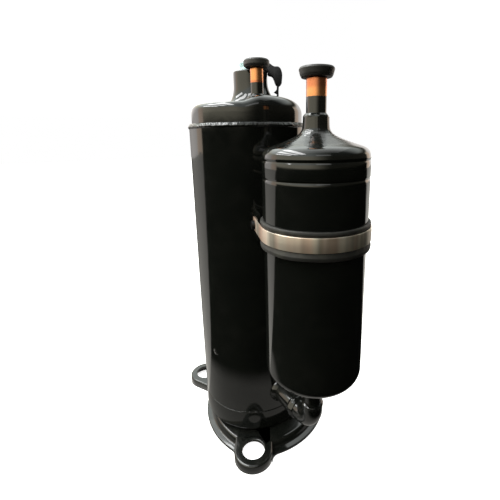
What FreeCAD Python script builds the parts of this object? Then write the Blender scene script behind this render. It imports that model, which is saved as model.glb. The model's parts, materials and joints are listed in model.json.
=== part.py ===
"""Refrigeration rotary compressor with a side accumulator.

The origin is on the shell's axis, in the plane that the feet stand on. +Z is up and the accumulator
stands towards +X. Lengths are millimetres and angles are degrees. A heading is an angle about the
shell's axis, counted from +X towards +Y.
"""

import FreeCAD, Part
import ast
import math
import operator
import os
import re
import Sketcher

SIZES = (
    # shell
    ("shell_radius", 60.0, "outside of the shell tube"),
    ("shell_wall", 3.0, "wall of the tube and of both caps"),
    ("seam_top", 337.0, "upper rim of the tube"),
    ("seam_bottom", 34.5, "lower rim of the tube"),
    ("cap_overlap", 8.0, "how far each cap reaches into the tube"),
    ("seam_gap", 0.8, "groove between the tube and the bottom cap"),
    ("weld_proud", 1.3, "how far the top weld stands out of the tube"),
    ("weld_rise", 4.0, "height of the top weld on the cap"),
    # top cap, in its own frame, which is turned to step_heading
    ("step_heading", 62.0, "heading of the cap's high side"),
    ("cap_low", 358.5, "top of the low side"),
    ("cap_high", 364.5, "top of the high side"),
    ("step_start", -6.5, "where the low side starts to rise"),
    ("step_run", 20.0, "length of the S-shaped rise"),
    ("crown_fall", 4.0, "how much lower the high side is at the wall"),
    ("cap_shoulder", 11.0, "outside radius between the cap's top and its wall"),
    ("neck_radius", 18.1, "outside of the drawn neck"),
    ("neck_top", 393.6, "rim of the neck"),
    ("neck_side", 4.5, "neck axis, towards the high side"),
    ("neck_back", 12.0, "neck axis, across the step"),
    ("neck_flare", 6.0, "radius between the neck and the low side"),
    # terminal
    ("terminal_floor", 385.0, "underside of the terminal's plate"),
    ("terminal_plate", 2.5, "thickness of the terminal's plate"),
    ("bead_radius", 2.6, "glass bead"),
    ("pin_radius", 1.15, "terminal pin"),
    ("pin_circle", 6.5, "radius of the circle that the pins stand on"),
    ("pin_bottom", 372.0, "inner end of the pins"),
    ("pin_top", 399.0, "outer end of the pins"),
    ("boot_radius", 12.0, "outside of the boot over the pins"),
    ("boot_top", 403.0, "top of the boot"),
    ("boot_wall", 1.4, "wall of the boot"),
    ("strap_width", 7.0, "width of the rubber strap"),
    ("strap_top", 402.0, "highest point of the strap"),
    ("strap_foot", 366.5, "lower end of the strap's tail"),
    # discharge stub, in the top cap's frame
    ("stub_side", 10.5, "stub axis, towards the high side"),
    ("stub_back", -17.0, "stub axis, across the step"),
    ("stub_radius", 6.35, "outside of the half inch tube"),
    ("stub_wall", 0.9, "wall of the stub"),
    ("stub_bottom", 352.0, "inner end of the stub"),
    ("stub_top", 392.0, "open end of the stub"),
    ("stub_shoulder", 368.0, "upper edge of the stub's braze"),
    ("swage_step", 0.6, "how much thinner the inner end of a stub is"),
    ("plug_gap", 0.3, "between a stub's end and its rubber plug"),
    ("plug_slip", 0.15, "between a plug's shank and the bore"),
    ("plug_shank", 12.0, "length of a plug's shank"),
    ("plug_head", 7.5, "height of a plug's head"),
    ("stub_plug_radius", 12.6, "head of the discharge plug"),
    # accumulator
    ("acc_distance", 113.5, "accumulator axis, from the shell's axis"),
    ("acc_radius", 42.7, "outside of the lower cup"),
    ("acc_upper_radius", 43.3, "outside of the upper cup"),
    ("acc_wall", 2.0, "wall of both cups"),
    ("acc_bottom", 114.0, "underside of the accumulator"),
    ("acc_fillet", 12.0, "rounding of the bottom"),
    ("acc_joint", 250.0, "lower rim of the upper cup"),
    ("groove_low", 294.7, "lower rolled groove"),
    ("groove_high", 308.7, "upper rolled groove"),
    ("collar_radius", 10.3, "neck of the upper cup"),
    ("collar_bottom", 331.5, "where the cone becomes the neck"),
    ("collar_top", 341.0, "rim of the neck"),
    ("inlet_radius", 7.94, "outside of the five-eighths tube"),
    ("inlet_wall", 1.0, "wall of the inlet and of the suction elbow"),
    ("inlet_shoulder", 344.2, "upper edge of the inlet's braze"),
    ("inlet_bottom", 322.0, "inner end of the inlet"),
    ("inlet_top", 369.4, "open end of the inlet"),
    ("inlet_plug_radius", 13.7, "head of the suction plug"),
    ("stand_top", 288.0, "open end of the standpipe"),
    ("baffle_height", 293.0, "baffle"),
    # band and bracket
    ("band_bottom", 244.6, "lower edge of the band"),
    ("band_top", 256.2, "upper edge of the band"),
    ("band_thick", 1.2, "band"),
    ("pad_bottom", 237.8, "lower edge of the pad"),
    ("pad_top", 260.2, "upper edge of the pad"),
    ("pad_thick", 1.7, "pad"),
    ("wing_angle", 20.0, "between a band's end and the plane through both axes"),
    ("screw_reach", 30.0, "band screws, from the accumulator's axis along the band's ends"),
    ("bracket_spread", 27.0, "half of the bracket's sweep on the shell"),
    ("bracket_thick", 2.5, "bracket"),
    ("bracket_bottom", 238.0, "lower edge of the bracket"),
    ("bracket_top", 262.0, "upper edge of the bracket"),
    # suction elbow
    ("suction_height", 56.0, "axis of the level suction tube"),
    ("suction_end", 38.0, "inner end of the suction tube, from the shell's axis"),
    ("elbow_radius", 9.7, "outside of the elbow, whose ends slip over the two tubes"),
    ("elbow_bend", 17.5, "bend radius of the elbow"),
    ("elbow_socket", 6.0, "straight end of the elbow"),
    ("outlet_bottom", 75.0, "lower end of the standpipe"),
    ("sleeve_radius", 10.5, "sleeve in the shell's wall"),
    ("sleeve_end", 86.0, "outer end of the sleeve"),
    # feet
    ("ear_heading", -31.3, "first ear"),
    ("ear_circle", 82.3, "radius of the circle through the mounting holes"),
    ("ear_radius", 20.0, "outside of an ear"),
    ("ear_hole", 11.65, "mounting hole"),
    ("plate_wall", 3.0, "thickness of the base plate"),
    ("plate_core", 64.0, "least radius of the plate's rear side"),
    ("side_bow", 180.0, "radius of the plate's rear side"),
    ("front_bow", 92.0, "radius of the plate's side away from the accumulator"),
    ("front_bow_side", 17.0, "centre of that side's arc, along the line of the two axes"),
    ("front_bow_back", 26.0, "centre of that side's arc, across that line"),
    ("apron_radius", 84.8, "base plate under the accumulator"),
    ("ear_blend", 9.0, "corner between an ear and a side"),
    ("flange_width", 6.5, "level flange round the base plate"),
    ("wall_lean", 3.0, "lean of the wall between the flange and the level top"),
    ("platform_top", 10.0, "level top of the base plate, which carries the shell"),
    # pump
    ("bore_radius", 27.0, "cylinder bore"),
    ("roller_radius", 22.0, "outside of the roller"),
    ("roller_inside", 15.5, "inside of the roller"),
    ("throw", 4.95, "offset of the eccentric"),
    ("run_gap", 0.05, "running clearance of roller, eccentric and vane"),
    ("block_radius", 53.5, "outside of the cylinder block"),
    ("block_bottom", 40.0, "underside of the cylinder block"),
    ("block_top", 68.0, "top of the cylinder block"),
    ("vane_heading", 35.0, "vane"),
    ("vane_thick", 4.0, "vane"),
    ("vane_length", 21.0, "vane"),
    ("eccentric_lead", 225.0, "eccentric at rest, from the vane"),
    ("journal_radius", 10.0, "crankshaft"),
    ("journal_gap", 0.04, "between the crankshaft and its bearings"),
    ("flange_top", 78.0, "top of the main bearing's flange"),
    ("hub_radius", 16.0, "hub of the main bearing"),
    ("hub_top", 122.0, "top of the main bearing"),
    ("ring_top", 110.0, "wall that is welded to the tube"),
    ("sub_flange_bottom", 28.0, "underside of the sub bearing's flange"),
    ("sub_bottom", 20.0, "bottom of the sub bearing"),
    ("sub_radius", 46.0, "sub bearing's flange"),
    ("shaft_bottom", 18.0, "lower end of the crankshaft"),
    ("shaft_top", 268.0, "upper end of the crankshaft"),
    ("bolt_circle", 40.0, "radius of the circle of pump bolts"),
    ("bolt_radius", 3.0, "pump bolts"),
    ("port_heading", 53.0, "discharge port"),
    ("port_circle", 25.0, "discharge port, from the shell's axis"),
    ("port_radius", 3.5, "discharge port"),
    ("reed_thick", 0.4, "discharge reed"),
    ("reed_width", 7.0, "discharge reed"),
    ("retainer_slope", 8.0, "slope of the reed's retainer"),
    ("muffler_radius", 33.0, "dome of the muffler"),
    ("muffler_top", 98.0, "roof of the muffler"),
    ("muffler_wall", 0.8, "sheet of the muffler"),
    ("plug_weld_height", 101.0, "plug welds that hold the main bearing"),
    ("plug_weld_radius", 4.0, "plug weld"),
    # motor
    ("core_bottom", 165.0, "underside of both cores"),
    ("core_top", 265.0, "top of both cores"),
    ("stator_bore", 30.6, "stator"),
    ("slot_count", 24.0, "stator slots"),
    ("slot_inner", 33.0, "inner end of a slot"),
    ("slot_outer", 46.0, "outer end of a slot"),
    ("slot_width", 5.2, "slot"),
    ("liner_wall", 0.5, "slot liner"),
    ("coil_reach", 27.0, "how far the windings stand out of the core"),
    ("coil_gap", 4.0, "between the core and the end turns"),
    ("rotor_radius", 30.0, "rotor"),
    ("bar_count", 20.0, "cage bars"),
    ("bar_radius", 1.6, "cage bar"),
    ("bar_circle", 27.2, "cage bars"),
    ("ring_height", 8.0, "end ring of the cage"),
    ("weight_radius", 29.0, "balance weights"),
    ("weight_height", 12.0, "balance weights"),
    ("rivet_circle", 18.0, "rotor rivets"),
    ("rivet_radius", 2.0, "rotor rivets"),
)
ALIASES = {alias for alias, _, _ in SIZES}
ARITHMETIC = {
    ast.Add: operator.add,
    ast.Sub: operator.sub,
    ast.Mult: operator.mul,
    ast.Div: operator.truediv,
    ast.Pow: operator.pow,
}
UP = FreeCAD.Vector(0, 0, 1)
EARS = 3

doc = FreeCAD.newDocument("rotary_compressor")
sheet = doc.addObject("Spreadsheet::Sheet", "sizes")
nodes = []


# ---------------------------------------------------------------- sheet and bindings


def fill_sheet():
    """One row for each driving dimension."""
    for row, (alias, number, meaning) in enumerate(SIZES, 1):
        sheet.set(f"A{row}", meaning)
        sheet.set(f"B{row}", str(number))
        sheet.setAlias(f"B{row}", alias)
    doc.recompute()


def formula(text):
    """A formula in plain aliases becomes an expression that names the sheet."""
    return re.sub(
        r"[a-z][a-z_]*",
        lambda found: ("sizes." if found.group() in ALIASES else "") + found.group(),
        str(text),
    )


def value(text):
    """The number that a formula gives now."""
    return reckon(ast.parse(str(text)).body[0].value)


def reckon(part):
    """Works out one branch of a formula."""
    if isinstance(part, ast.BinOp):
        return ARITHMETIC[type(part.op)](reckon(part.left), reckon(part.right))
    if isinstance(part, ast.UnaryOp):
        return -reckon(part.operand)
    if isinstance(part, ast.Name):
        return float(sheet.get(part.id))
    return float(part.value)


def bind(thing, **properties):
    for name, text in properties.items():
        thing.setExpression(name, formula(text))
    return thing


def place(thing, side=0, back=0, lift=0, heading=None, along=None):
    """Puts a solid at its place. along "x" or "y" lays its axis down; heading turns it about Z."""
    if along == "x":
        thing.Placement.Rotation = FreeCAD.Rotation(FreeCAD.Vector(0, 1, 0), 90)
    if along == "y":
        thing.Placement.Rotation = FreeCAD.Rotation(FreeCAD.Vector(1, 0, 0), -90)
    if heading is not None:
        thing.Placement.Rotation = FreeCAD.Rotation(UP, value(heading))
        thing.setExpression("Placement.Rotation.Angle", formula(heading))
    for axis, text in (("x", side), ("y", back), ("z", lift)):
        if text != 0:
            thing.setExpression(f"Placement.Base.{axis}", formula(text))
    return thing


def keep(label, thing):
    """Names a finished sub-part."""
    thing.Label = label
    nodes.append(thing)
    return thing


# ---------------------------------------------------------------- solids from primitives


def cylinder(radius, height, **where):
    return place(bind(doc.addObject("Part::Cylinder", "rod"), Radius=radius, Height=height), **where)


def sector(radius, height, start, sweep, lift=0):
    """A slice of a disc that starts at a heading."""
    slice_ = bind(doc.addObject("Part::Cylinder", "slice"), Radius=radius, Height=height)
    bind(slice_, Angle=sweep)
    return place(slice_, lift=lift, heading=start)


def box(length, width, height, **where):
    """A block whose placement is its lowest corner."""
    block = bind(doc.addObject("Part::Box", "block"), Length=length, Width=width, Height=height)
    return place(block, **where)


def fuse(*things):
    joined = doc.addObject("Part::MultiFuse", "joined")
    joined.Shapes = list(things)
    return joined


def group(*things):
    """Solids that are placed together."""
    holder = doc.addObject("Part::Compound", "group")
    holder.Links = list(things)
    return holder


def cut(base, *tools):
    """base with every tool taken away."""
    result = doc.addObject("Part::Cut", "cut")
    result.Base = base
    result.Tool = tools[0] if len(tools) == 1 else fuse(*tools)
    return result


def common(one, other):
    both = doc.addObject("Part::Common", "common")
    both.Base = one
    both.Tool = other
    return both


def tube(outer, inner, height, **where):
    return cut(cylinder(outer, height, **where), cylinder(inner, height, **where))


def made(shape, heading=None):
    """A sub-part whose shape comes from Part's own functions."""
    feature = doc.addObject("Part::Feature", "formed")
    feature.Shape = shape
    if heading is not None:
        place(feature, heading=heading)
    return feature


# ---------------------------------------------------------------- sketches and turned bodies


def sketch_on(body, role):
    sketch = body.newObject("Sketcher::SketchObject", "outline")
    plane = next(f for f in body.Origin.OriginFeatures if f.Role == role)
    sketch.AttachmentSupport = [(plane, "")]
    sketch.MapMode = "FlatFace"
    return sketch


def fix_point(sketch, geometry, position, across, up):
    """Holds a point at two formulas."""
    for kind, axis, text in (("DistanceX", -2, across), ("DistanceY", -1, up)):
        if value(text) == 0:
            sketch.addConstraint(Sketcher.Constraint("PointOnObject", geometry, position, axis))
            continue
        index = sketch.addConstraint(
            Sketcher.Constraint(kind, -1, 1, geometry, position, value(text))
        )
        sketch.setExpression(f"Constraints[{index}]", formula(text))


def polygon(sketch, corners):
    """A closed outline of straight edges; each corner is two formulas."""
    first = sketch.GeometryCount
    points = [FreeCAD.Vector(value(across), value(up), 0) for across, up in corners]
    for index, point in enumerate(points):
        after = points[(index + 1) % len(points)]
        sketch.addGeometry(Part.LineSegment(point, after), False)
    for index in range(len(points)):
        after = (index + 1) % len(points)
        sketch.addConstraint(Sketcher.Constraint("Coincident", first + index, 2, first + after, 1))
    for index, (across, up) in enumerate(corners):
        fix_point(sketch, first + index, 1, across, up)
    return sketch


def circle(sketch, radius, across=0, up=0):
    centre = FreeCAD.Vector(value(across), value(up), 0)
    ring = sketch.addGeometry(Part.Circle(centre, UP, value(radius)), False)
    fix_point(sketch, ring, 3, across, up)
    index = sketch.addConstraint(Sketcher.Constraint("Radius", ring, value(radius)))
    sketch.setExpression(f"Constraints[{index}]", formula(radius))
    return sketch


def new_body():
    return doc.addObject("PartDesign::Body", "body")


def revolve(body, corners):
    """Turns an outline of (radius, height) corners about the body's Z axis."""
    turn = body.newObject("PartDesign::Revolution", "turn")
    turn.Profile = polygon(sketch_on(body, "XZ_Plane"), corners)
    turn.ReferenceAxis = (turn.Profile[0], ["V_Axis"])
    turn.Angle = 360
    return turn


def turned(corners, side=0, back=0):
    """A body of revolution about a vertical axis."""
    body = new_body()
    revolve(body, corners)
    return place(body, side=side, back=back)


def pad(body, draw, length, bottom=0):
    """Pads what draw puts in a sketch that lies at a height."""
    feature = body.newObject("PartDesign::Pad", "pad")
    sketch = sketch_on(body, "XY_Plane")
    sketch.setExpression("AttachmentOffset.Base.z", formula(bottom))
    draw(sketch)
    feature.Profile = sketch
    feature.setExpression("Length", formula(length))
    return feature


def repeat(body, feature, count):
    """Repeats a feature of a body round its Z axis."""
    pattern = body.newObject("PartDesign::PolarPattern", "pattern")
    pattern.Originals = [feature]
    pattern.Axis = (next(f for f in body.Origin.OriginFeatures if f.Role == "Z_Axis"), [""])
    pattern.Angle = 360
    pattern.setExpression("Occurrences", formula(count))
    body.Tip = pattern
    return pattern


def rounded(body, size, *rims):
    """Rounds the circular edges that have the given (radius, height)."""
    doc.recompute()
    tip = body.Tip
    wanted = [(value(radius), value(height)) for radius, height in rims]
    names = []
    for index, edge in enumerate(tip.Shape.Edges, 1):
        curve = edge.Curve
        if not isinstance(curve, Part.Circle):
            continue
        here = (curve.Radius, curve.Center.z)
        if any(math.dist(here, rim) < 0.01 for rim in wanted):
            names.append(f"Edge{index}")
    if len(names) < len(rims):
        raise RuntimeError(f"{body.Label}: only {len(names)} of {len(rims)} rims were found")
    fillet = body.newObject("PartDesign::Fillet", "rounding")
    fillet.Base = (tip, names)
    fillet.setExpression("Radius", formula(size))
    return body


def ring_outline(inner, outer, bottom, top):
    return [(inner, bottom), (outer, bottom), (outer, top), (inner, top)]


# ---------------------------------------------------------------- shell


def shell_body():
    wall = tube("shell_radius", "shell_radius - shell_wall", "seam_top - seam_bottom - seam_gap / 2",
                lift="seam_bottom + seam_gap / 2")
    port = cylinder("sleeve_radius", "shell_radius", lift="suction_height", along="x")
    keep("shell_body", cut(wall, port, *plug_weld_rods("shell_radius")))


def plug_weld_rods(reach):
    """Three short rods through the wall, which share a height."""
    rods = []
    for index in range(3):
        rod = cylinder("plug_weld_radius", f"{reach} - shell_radius + shell_wall", along="x",
                       side="shell_radius - shell_wall", lift="plug_weld_height")
        rods.append(place(group(rod), heading=f"{120 * index} - 72"))
    return rods


def plug_welds():
    rods = []
    for index in range(3):
        rod = cylinder("plug_weld_radius", "shell_wall + 0.2", along="x",
                       side="shell_radius - shell_wall", lift="plug_weld_height")
        rods.append((rod, 120 * index - 72))
    doc.recompute()
    solids = []
    for rod, heading in rods:
        solid = rod.Shape.copy()
        solid.rotate(FreeCAD.Vector(), UP, heading)
        solids.append(solid)
        doc.removeObject(rod.Name)
    keep("plug_welds", made(Part.makeCompound(solids)))


def seam_welds():
    inner = "shell_radius - shell_wall"
    keep("top_seam_weld", turned([
        (inner, "seam_top"),
        ("shell_radius", "seam_top"),
        ("shell_radius", "seam_top - 1.5"),
        ("shell_radius + weld_proud", "seam_top - 0.5"),
        ("shell_radius + weld_proud - 0.2", "seam_top + 1.2"),
        ("shell_radius - 0.6", "seam_top + weld_rise - 1"),
        (inner, "seam_top + weld_rise"),
    ]))
    keep("bottom_seam_weld", turned(ring_outline(
        "shell_radius - 2.2", "shell_radius - 0.3",
        "seam_bottom - seam_gap / 2", "seam_bottom + seam_gap / 2")))


def bottom_cap():
    """A dish whose joggled rim goes into the tube."""
    inside = "shell_radius - 2 * shell_wall"
    body = turned([
        (0, "platform_top"),
        ("shell_radius", "platform_top"),
        ("shell_radius", "seam_bottom - seam_gap / 2"),
        ("shell_radius - shell_wall", "seam_bottom - seam_gap / 2"),
        ("shell_radius - shell_wall", "seam_bottom + cap_overlap"),
        (inside, "seam_bottom + cap_overlap"),
        (inside, "seam_bottom - 4"),
        ("shell_radius - shell_wall", "seam_bottom - 8"),
        ("shell_radius - shell_wall", "platform_top + shell_wall"),
        (0, "platform_top + shell_wall"),
    ])
    rounded(body, 6, ("shell_radius", "platform_top"))
    rounded(body, 3, ("shell_radius - shell_wall", "platform_top + shell_wall"))
    keep("bottom_cap", body)


def crown(radius, drop, shoulder):
    """The solid under the stepped top, in the cap's frame: a rod cut by an S-shaped roof."""
    low = value("cap_low") - drop
    high = value("cap_high") - drop
    start = value("step_start")
    run = value("step_run")
    bottom = value("seam_top - cap_overlap") - 5
    reach = value("shell_radius") + 5
    middle = FreeCAD.Vector(start + run / 2, 0, (low + high) / 2)
    bend = (run**2 + (high - low)**2) / (4 * (high - low))
    half = math.asin(run / 2 / bend) / 2
    dip = FreeCAD.Vector(start + bend * math.sin(half), 0, low + bend * (1 - math.cos(half)))
    rise = 2 * middle - dip
    far = FreeCAD.Vector(reach, 0, high - value("crown_fall"))
    top = FreeCAD.Vector(start + run, 0, high)
    swell = FreeCAD.Vector((top.x + far.x) / 2, 0, high - value("crown_fall") / 4)
    left = FreeCAD.Vector(-reach, 0, low)
    foot = FreeCAD.Vector(start, 0, low)
    corners = (FreeCAD.Vector(reach, 0, bottom), FreeCAD.Vector(-reach, 0, bottom))
    wire = Part.Wire([
        Part.makeLine(left, foot),
        Part.Arc(foot, dip, middle).toShape(),
        Part.Arc(middle, rise, top).toShape(),
        Part.Arc(top, swell, far).toShape(),
        Part.makeLine(far, corners[0]),
        Part.makeLine(corners[0], corners[1]),
        Part.makeLine(corners[1], left),
    ])
    roof = Part.Face(wire).extrude(FreeCAD.Vector(0, 2 * reach, 0))
    roof.translate(FreeCAD.Vector(0, -reach, 0))
    rod = Part.makeCylinder(radius, high - bottom + 20, FreeCAD.Vector(0, 0, bottom))
    solid = rod.common(roof)
    rim = []
    for edge in solid.Edges:
        middle_point = edge.valueAt((edge.FirstParameter + edge.LastParameter) / 2)
        on_wall = all(abs(math.hypot(p.x, p.y) - radius) < 0.01
                      for p in (middle_point, edge.Vertexes[0].Point, edge.Vertexes[-1].Point))
        if on_wall and middle_point.z > low - 1:
            rim.append(edge)
    return solid.makeFillet(shoulder, rim)


def top_cap():
    """The stepped cap with its drawn neck, which is flared where it leaves the low side.

    Gives back the filled form under the cap's roof, to fit pieces that sit on it.
    """
    wall = value("shell_wall")
    outside = value("shell_radius - shell_wall")
    low = value("cap_low")
    neck = value("neck_radius")
    rim = value("neck_top")
    flare = value("neck_flare")
    centre = FreeCAD.Vector(value("neck_side"), value("neck_back"), 0)
    outer = crown(outside, 0, value("cap_shoulder"))
    inner = crown(outside - wall, wall, value("cap_shoulder") - wall)
    post = Part.makeCylinder(neck, rim - low + 2, centre + FreeCAD.Vector(0, 0, low - 2))
    post = post.makeFillet(1.6, [e for e in post.Edges if abs(e.BoundBox.ZMin - rim) < 0.01])
    foot = FreeCAD.Vector(neck, 0, low - 1)
    skirt_points = [
        FreeCAD.Vector(neck - 1, 0, low - 1),
        FreeCAD.Vector(neck + flare, 0, low - 1),
        FreeCAD.Vector(neck + flare, 0, low),
        FreeCAD.Vector(neck, 0, low + flare),
        FreeCAD.Vector(neck - 1, 0, low + flare),
    ]
    lean = flare * (1 - math.sqrt(0.5))
    hollow = Part.Arc(skirt_points[2], foot + FreeCAD.Vector(lean, 0, lean + 1), skirt_points[3])
    skirt = Part.Face(Part.Wire([
        Part.makeLine(skirt_points[0], skirt_points[1]),
        Part.makeLine(skirt_points[1], skirt_points[2]),
        hollow.toShape(),
        Part.makeLine(skirt_points[3], skirt_points[4]),
        Part.makeLine(skirt_points[4], skirt_points[0]),
    ])).revolve(FreeCAD.Vector(), UP, 360)
    skirt.translate(centre)
    bore = Part.makeCylinder(neck - wall, 100, centre + FreeCAD.Vector(0, 0, low - 40))
    stub_axis = FreeCAD.Vector(value("stub_side"), value("stub_back"), low - 40)
    hole = Part.makeCylinder(value("stub_radius - swage_step"), 100, stub_axis)
    trim = Part.makeBox(200, 200, 100, FreeCAD.Vector(-100, -100, value("seam_top - cap_overlap") - 100))
    shape = outer.fuse([post, skirt]).cut(inner).cut(bore).cut(hole).cut(trim).removeSplitter()
    keep("top_cap", made(shape, heading="step_heading"))
    return made(outer, heading="step_heading")


# ---------------------------------------------------------------- terminal on the neck


def neck_frame(thing):
    """Moves a piece that is modelled about its own axis onto the neck's axis."""
    doc.recompute()
    angle = math.radians(value("step_heading"))
    side, back = value("neck_side"), value("neck_back")
    spot = FreeCAD.Vector(side * math.cos(angle) - back * math.sin(angle),
                          side * math.sin(angle) + back * math.cos(angle), 0)
    thing.Placement = FreeCAD.Placement(spot, FreeCAD.Rotation(UP, value("step_heading")))
    return thing


def pin_spots(radius, bottom, top):
    """Three rods on the pin circle, as one solid group."""
    circle_radius = value("pin_circle")
    rods = []
    for index in range(3):
        angle = math.radians(90 + 120 * index)
        foot = FreeCAD.Vector(circle_radius * math.cos(angle), circle_radius * math.sin(angle),
                              value(bottom))
        rods.append(Part.makeCylinder(value(radius), value(f"{top} - ({bottom})"), foot))
    return Part.makeCompound(rods)


def terminal():
    floor = "terminal_floor"
    ceiling = "terminal_floor + terminal_plate"
    neck_bore = "neck_radius - shell_wall"
    plate = turned([
        (0, floor),
        (neck_bore, floor),
        (neck_bore, "terminal_floor + 6"),
        (f"{neck_bore} - 1.2", "terminal_floor + 6"),
        (f"{neck_bore} - 1.6", ceiling),
        (0, ceiling),
    ])
    doc.recompute()
    drilled = plate.Shape.cut(pin_spots("bead_radius", floor, ceiling))
    keep("terminal_plate", neck_frame(made(drilled)))
    plate.removeObjectsFromDocument()
    doc.removeObject(plate.Name)
    beads = pin_spots("bead_radius", floor, ceiling).cut(pin_spots("pin_radius", floor, ceiling))
    keep("terminal_beads", neck_frame(made(beads)))
    keep("terminal_pins", neck_frame(made(pin_spots("pin_radius", "pin_bottom", "pin_top"))))
    block = Part.makeBox(18, 18, 8, FreeCAD.Vector(-9, -9, value("pin_bottom")))
    block = block.makeFillet(3, [e for e in block.Edges if e.BoundBox.ZLength > 7])
    block = block.cut(pin_spots("pin_radius", "pin_bottom", "pin_top"))
    keep("lead_block", neck_frame(made(block)))


def terminal_boot():
    """A soft cup over the pins, with two small breather holes in its side."""
    bottom = value("terminal_floor + terminal_plate")
    top = value("boot_top")
    radius = value("boot_radius")
    wall = value("boot_wall")
    cup = Part.makeCylinder(radius, top - bottom, FreeCAD.Vector(0, 0, bottom))
    cup = cup.makeFillet(1.5, [e for e in cup.Edges if e.BoundBox.ZMin > top - 0.01])
    cup = cup.cut(Part.makeCylinder(radius - wall, top - bottom - wall, FreeCAD.Vector(0, 0, bottom)))
    for height in (top - 3, top - 7):
        breather = Part.makeCylinder(1, 6, FreeCAD.Vector(-radius - 1, 0, height),
                                     FreeCAD.Vector(1, 0, 0))
        cup = cup.cut(breather)
    keep("terminal_boot", neck_frame(made(cup)))


def terminal_strap(roof):
    """A rubber strap: a clip on the boot, an arm that hooks over, and a barbed tail."""
    side = "neck_side"
    arm = new_body()
    sketch = polygon(sketch_on(arm, "XZ_Plane"), [
        (f"13 + {side}", "strap_top - 1"),
        (f"18 + {side}", "strap_top"),
        (f"21.5 + {side}", "strap_top - 0.7"),
        (f"24 + {side}", "strap_top - 3"),
        (f"29.5 + {side}", "strap_top - 3.2"),
        (f"32.4 + {side}", "strap_top - 5.6"),
        (f"33.8 + {side}", "strap_top - 11"),
        (f"33.4 + {side}", "strap_top - 19"),
        (f"31.8 + {side}", "strap_top - 22.4"),
        (f"30 + {side}", "strap_top - 22.6"),
        (f"30 + {side}", "strap_foot"),
        (f"28.1 + {side}", "strap_foot"),
        (f"28.1 + {side}", "strap_foot + 5.4"),
        (f"24.9 + {side}", "strap_foot + 6.6"),
        (f"28.1 + {side}", "strap_foot + 9.6"),
        (f"28.1 + {side}", "strap_top - 22.4"),
        (f"26.2 + {side}", "strap_top - 20"),
        (f"24.6 + {side}", "strap_top - 15"),
        (f"22.6 + {side}", "strap_top - 12.6"),
        (f"19.6 + {side}", "strap_top - 12.2"),
        (f"18.4 + {side}", "strap_top - 10"),
        (f"18.2 + {side}", "strap_top - 8"),
        (f"13 + {side}", "strap_top - 7.6"),
    ])
    thickness = arm.newObject("PartDesign::Pad", "pad")
    thickness.Profile = sketch
    thickness.Midplane = True
    thickness.setExpression("Length", formula("strap_width"))
    place(arm, back="neck_back")
    clip = place(group(sector("boot_radius + 3", 6, -50, 100, lift="strap_top - 7.4")),
                 side="neck_side", back="neck_back")
    strap = fuse(arm, clip)
    space = cylinder("boot_radius", 20, side="neck_side", back="neck_back", lift="strap_top - 18")
    strap = place(cut(strap, space), heading="step_heading")
    keep("terminal_strap", strap)
    eyelet = tube(3.2, 1.6, 4.4, side="29 + neck_side", back="neck_back", lift="strap_foot - 4.6")
    keep("strap_eyelet", cut(place(group(eyelet), heading="step_heading"), roof))


# ---------------------------------------------------------------- stubs and plugs


def stub_pipe(label, radius, wall, shoulder, bottom, top, side=0, back=0):
    """A line stub: a full-size tube above the shoulder and a swaged end below it."""
    step = "swage_step"
    pipe = turned([
        (f"{radius} - {wall}", top),
        (radius, top),
        (radius, shoulder),
        (f"{radius} - {step}", f"{shoulder} - 1.2"),
        (f"{radius} - {step}", bottom),
        (f"{radius} - {step} - {wall}", bottom),
        (f"{radius} - {step} - {wall}", f"{shoulder} - 1.2"),
        (f"{radius} - {wall}", shoulder),
    ], side=side, back=back)
    if back == 0:
        keep(label, pipe)
    else:
        keep(label, place(group(pipe), heading="step_heading"))


def discharge_stub(roof):
    """The stub, its braze, which follows the stepped cap, and its rubber plug."""
    where = {"side": "stub_side", "back": "stub_back"}
    shoulder = "stub_shoulder"
    stub_pipe("discharge_pipe", "stub_radius", "stub_wall", shoulder, "stub_bottom", "stub_top",
              **where)
    fillet = turned([
        ("stub_radius - swage_step", "stub_shoulder - 12"),
        ("stub_radius + 5.2", "stub_shoulder - 12"),
        ("stub_radius + 3.4", "stub_shoulder - 5"),
        ("stub_radius + 3.2", "stub_shoulder - 2.2"),
        ("stub_radius + 2.2", "stub_shoulder - 0.9"),
        ("stub_radius + 0.3", shoulder),
        ("stub_radius", shoulder),
        ("stub_radius - swage_step", "stub_shoulder - 1.2"),
    ], **where)
    keep("discharge_braze", cut(place(group(fillet), heading="step_heading"), roof))
    shank = "stub_radius - stub_wall - plug_slip"
    head_foot = "stub_top + plug_gap"
    plug = turned([
        (0, "stub_top - plug_shank"),
        (shank, "stub_top - plug_shank"),
        (shank, head_foot),
        ("stub_plug_radius - 1.6", head_foot),
        ("stub_plug_radius", f"{head_foot} + 2"),
        ("stub_plug_radius", f"{head_foot} + plug_head"),
        (0, f"{head_foot} + plug_head"),
    ], **where)
    keep("discharge_plug", place(group(plug), heading="step_heading"))


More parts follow.
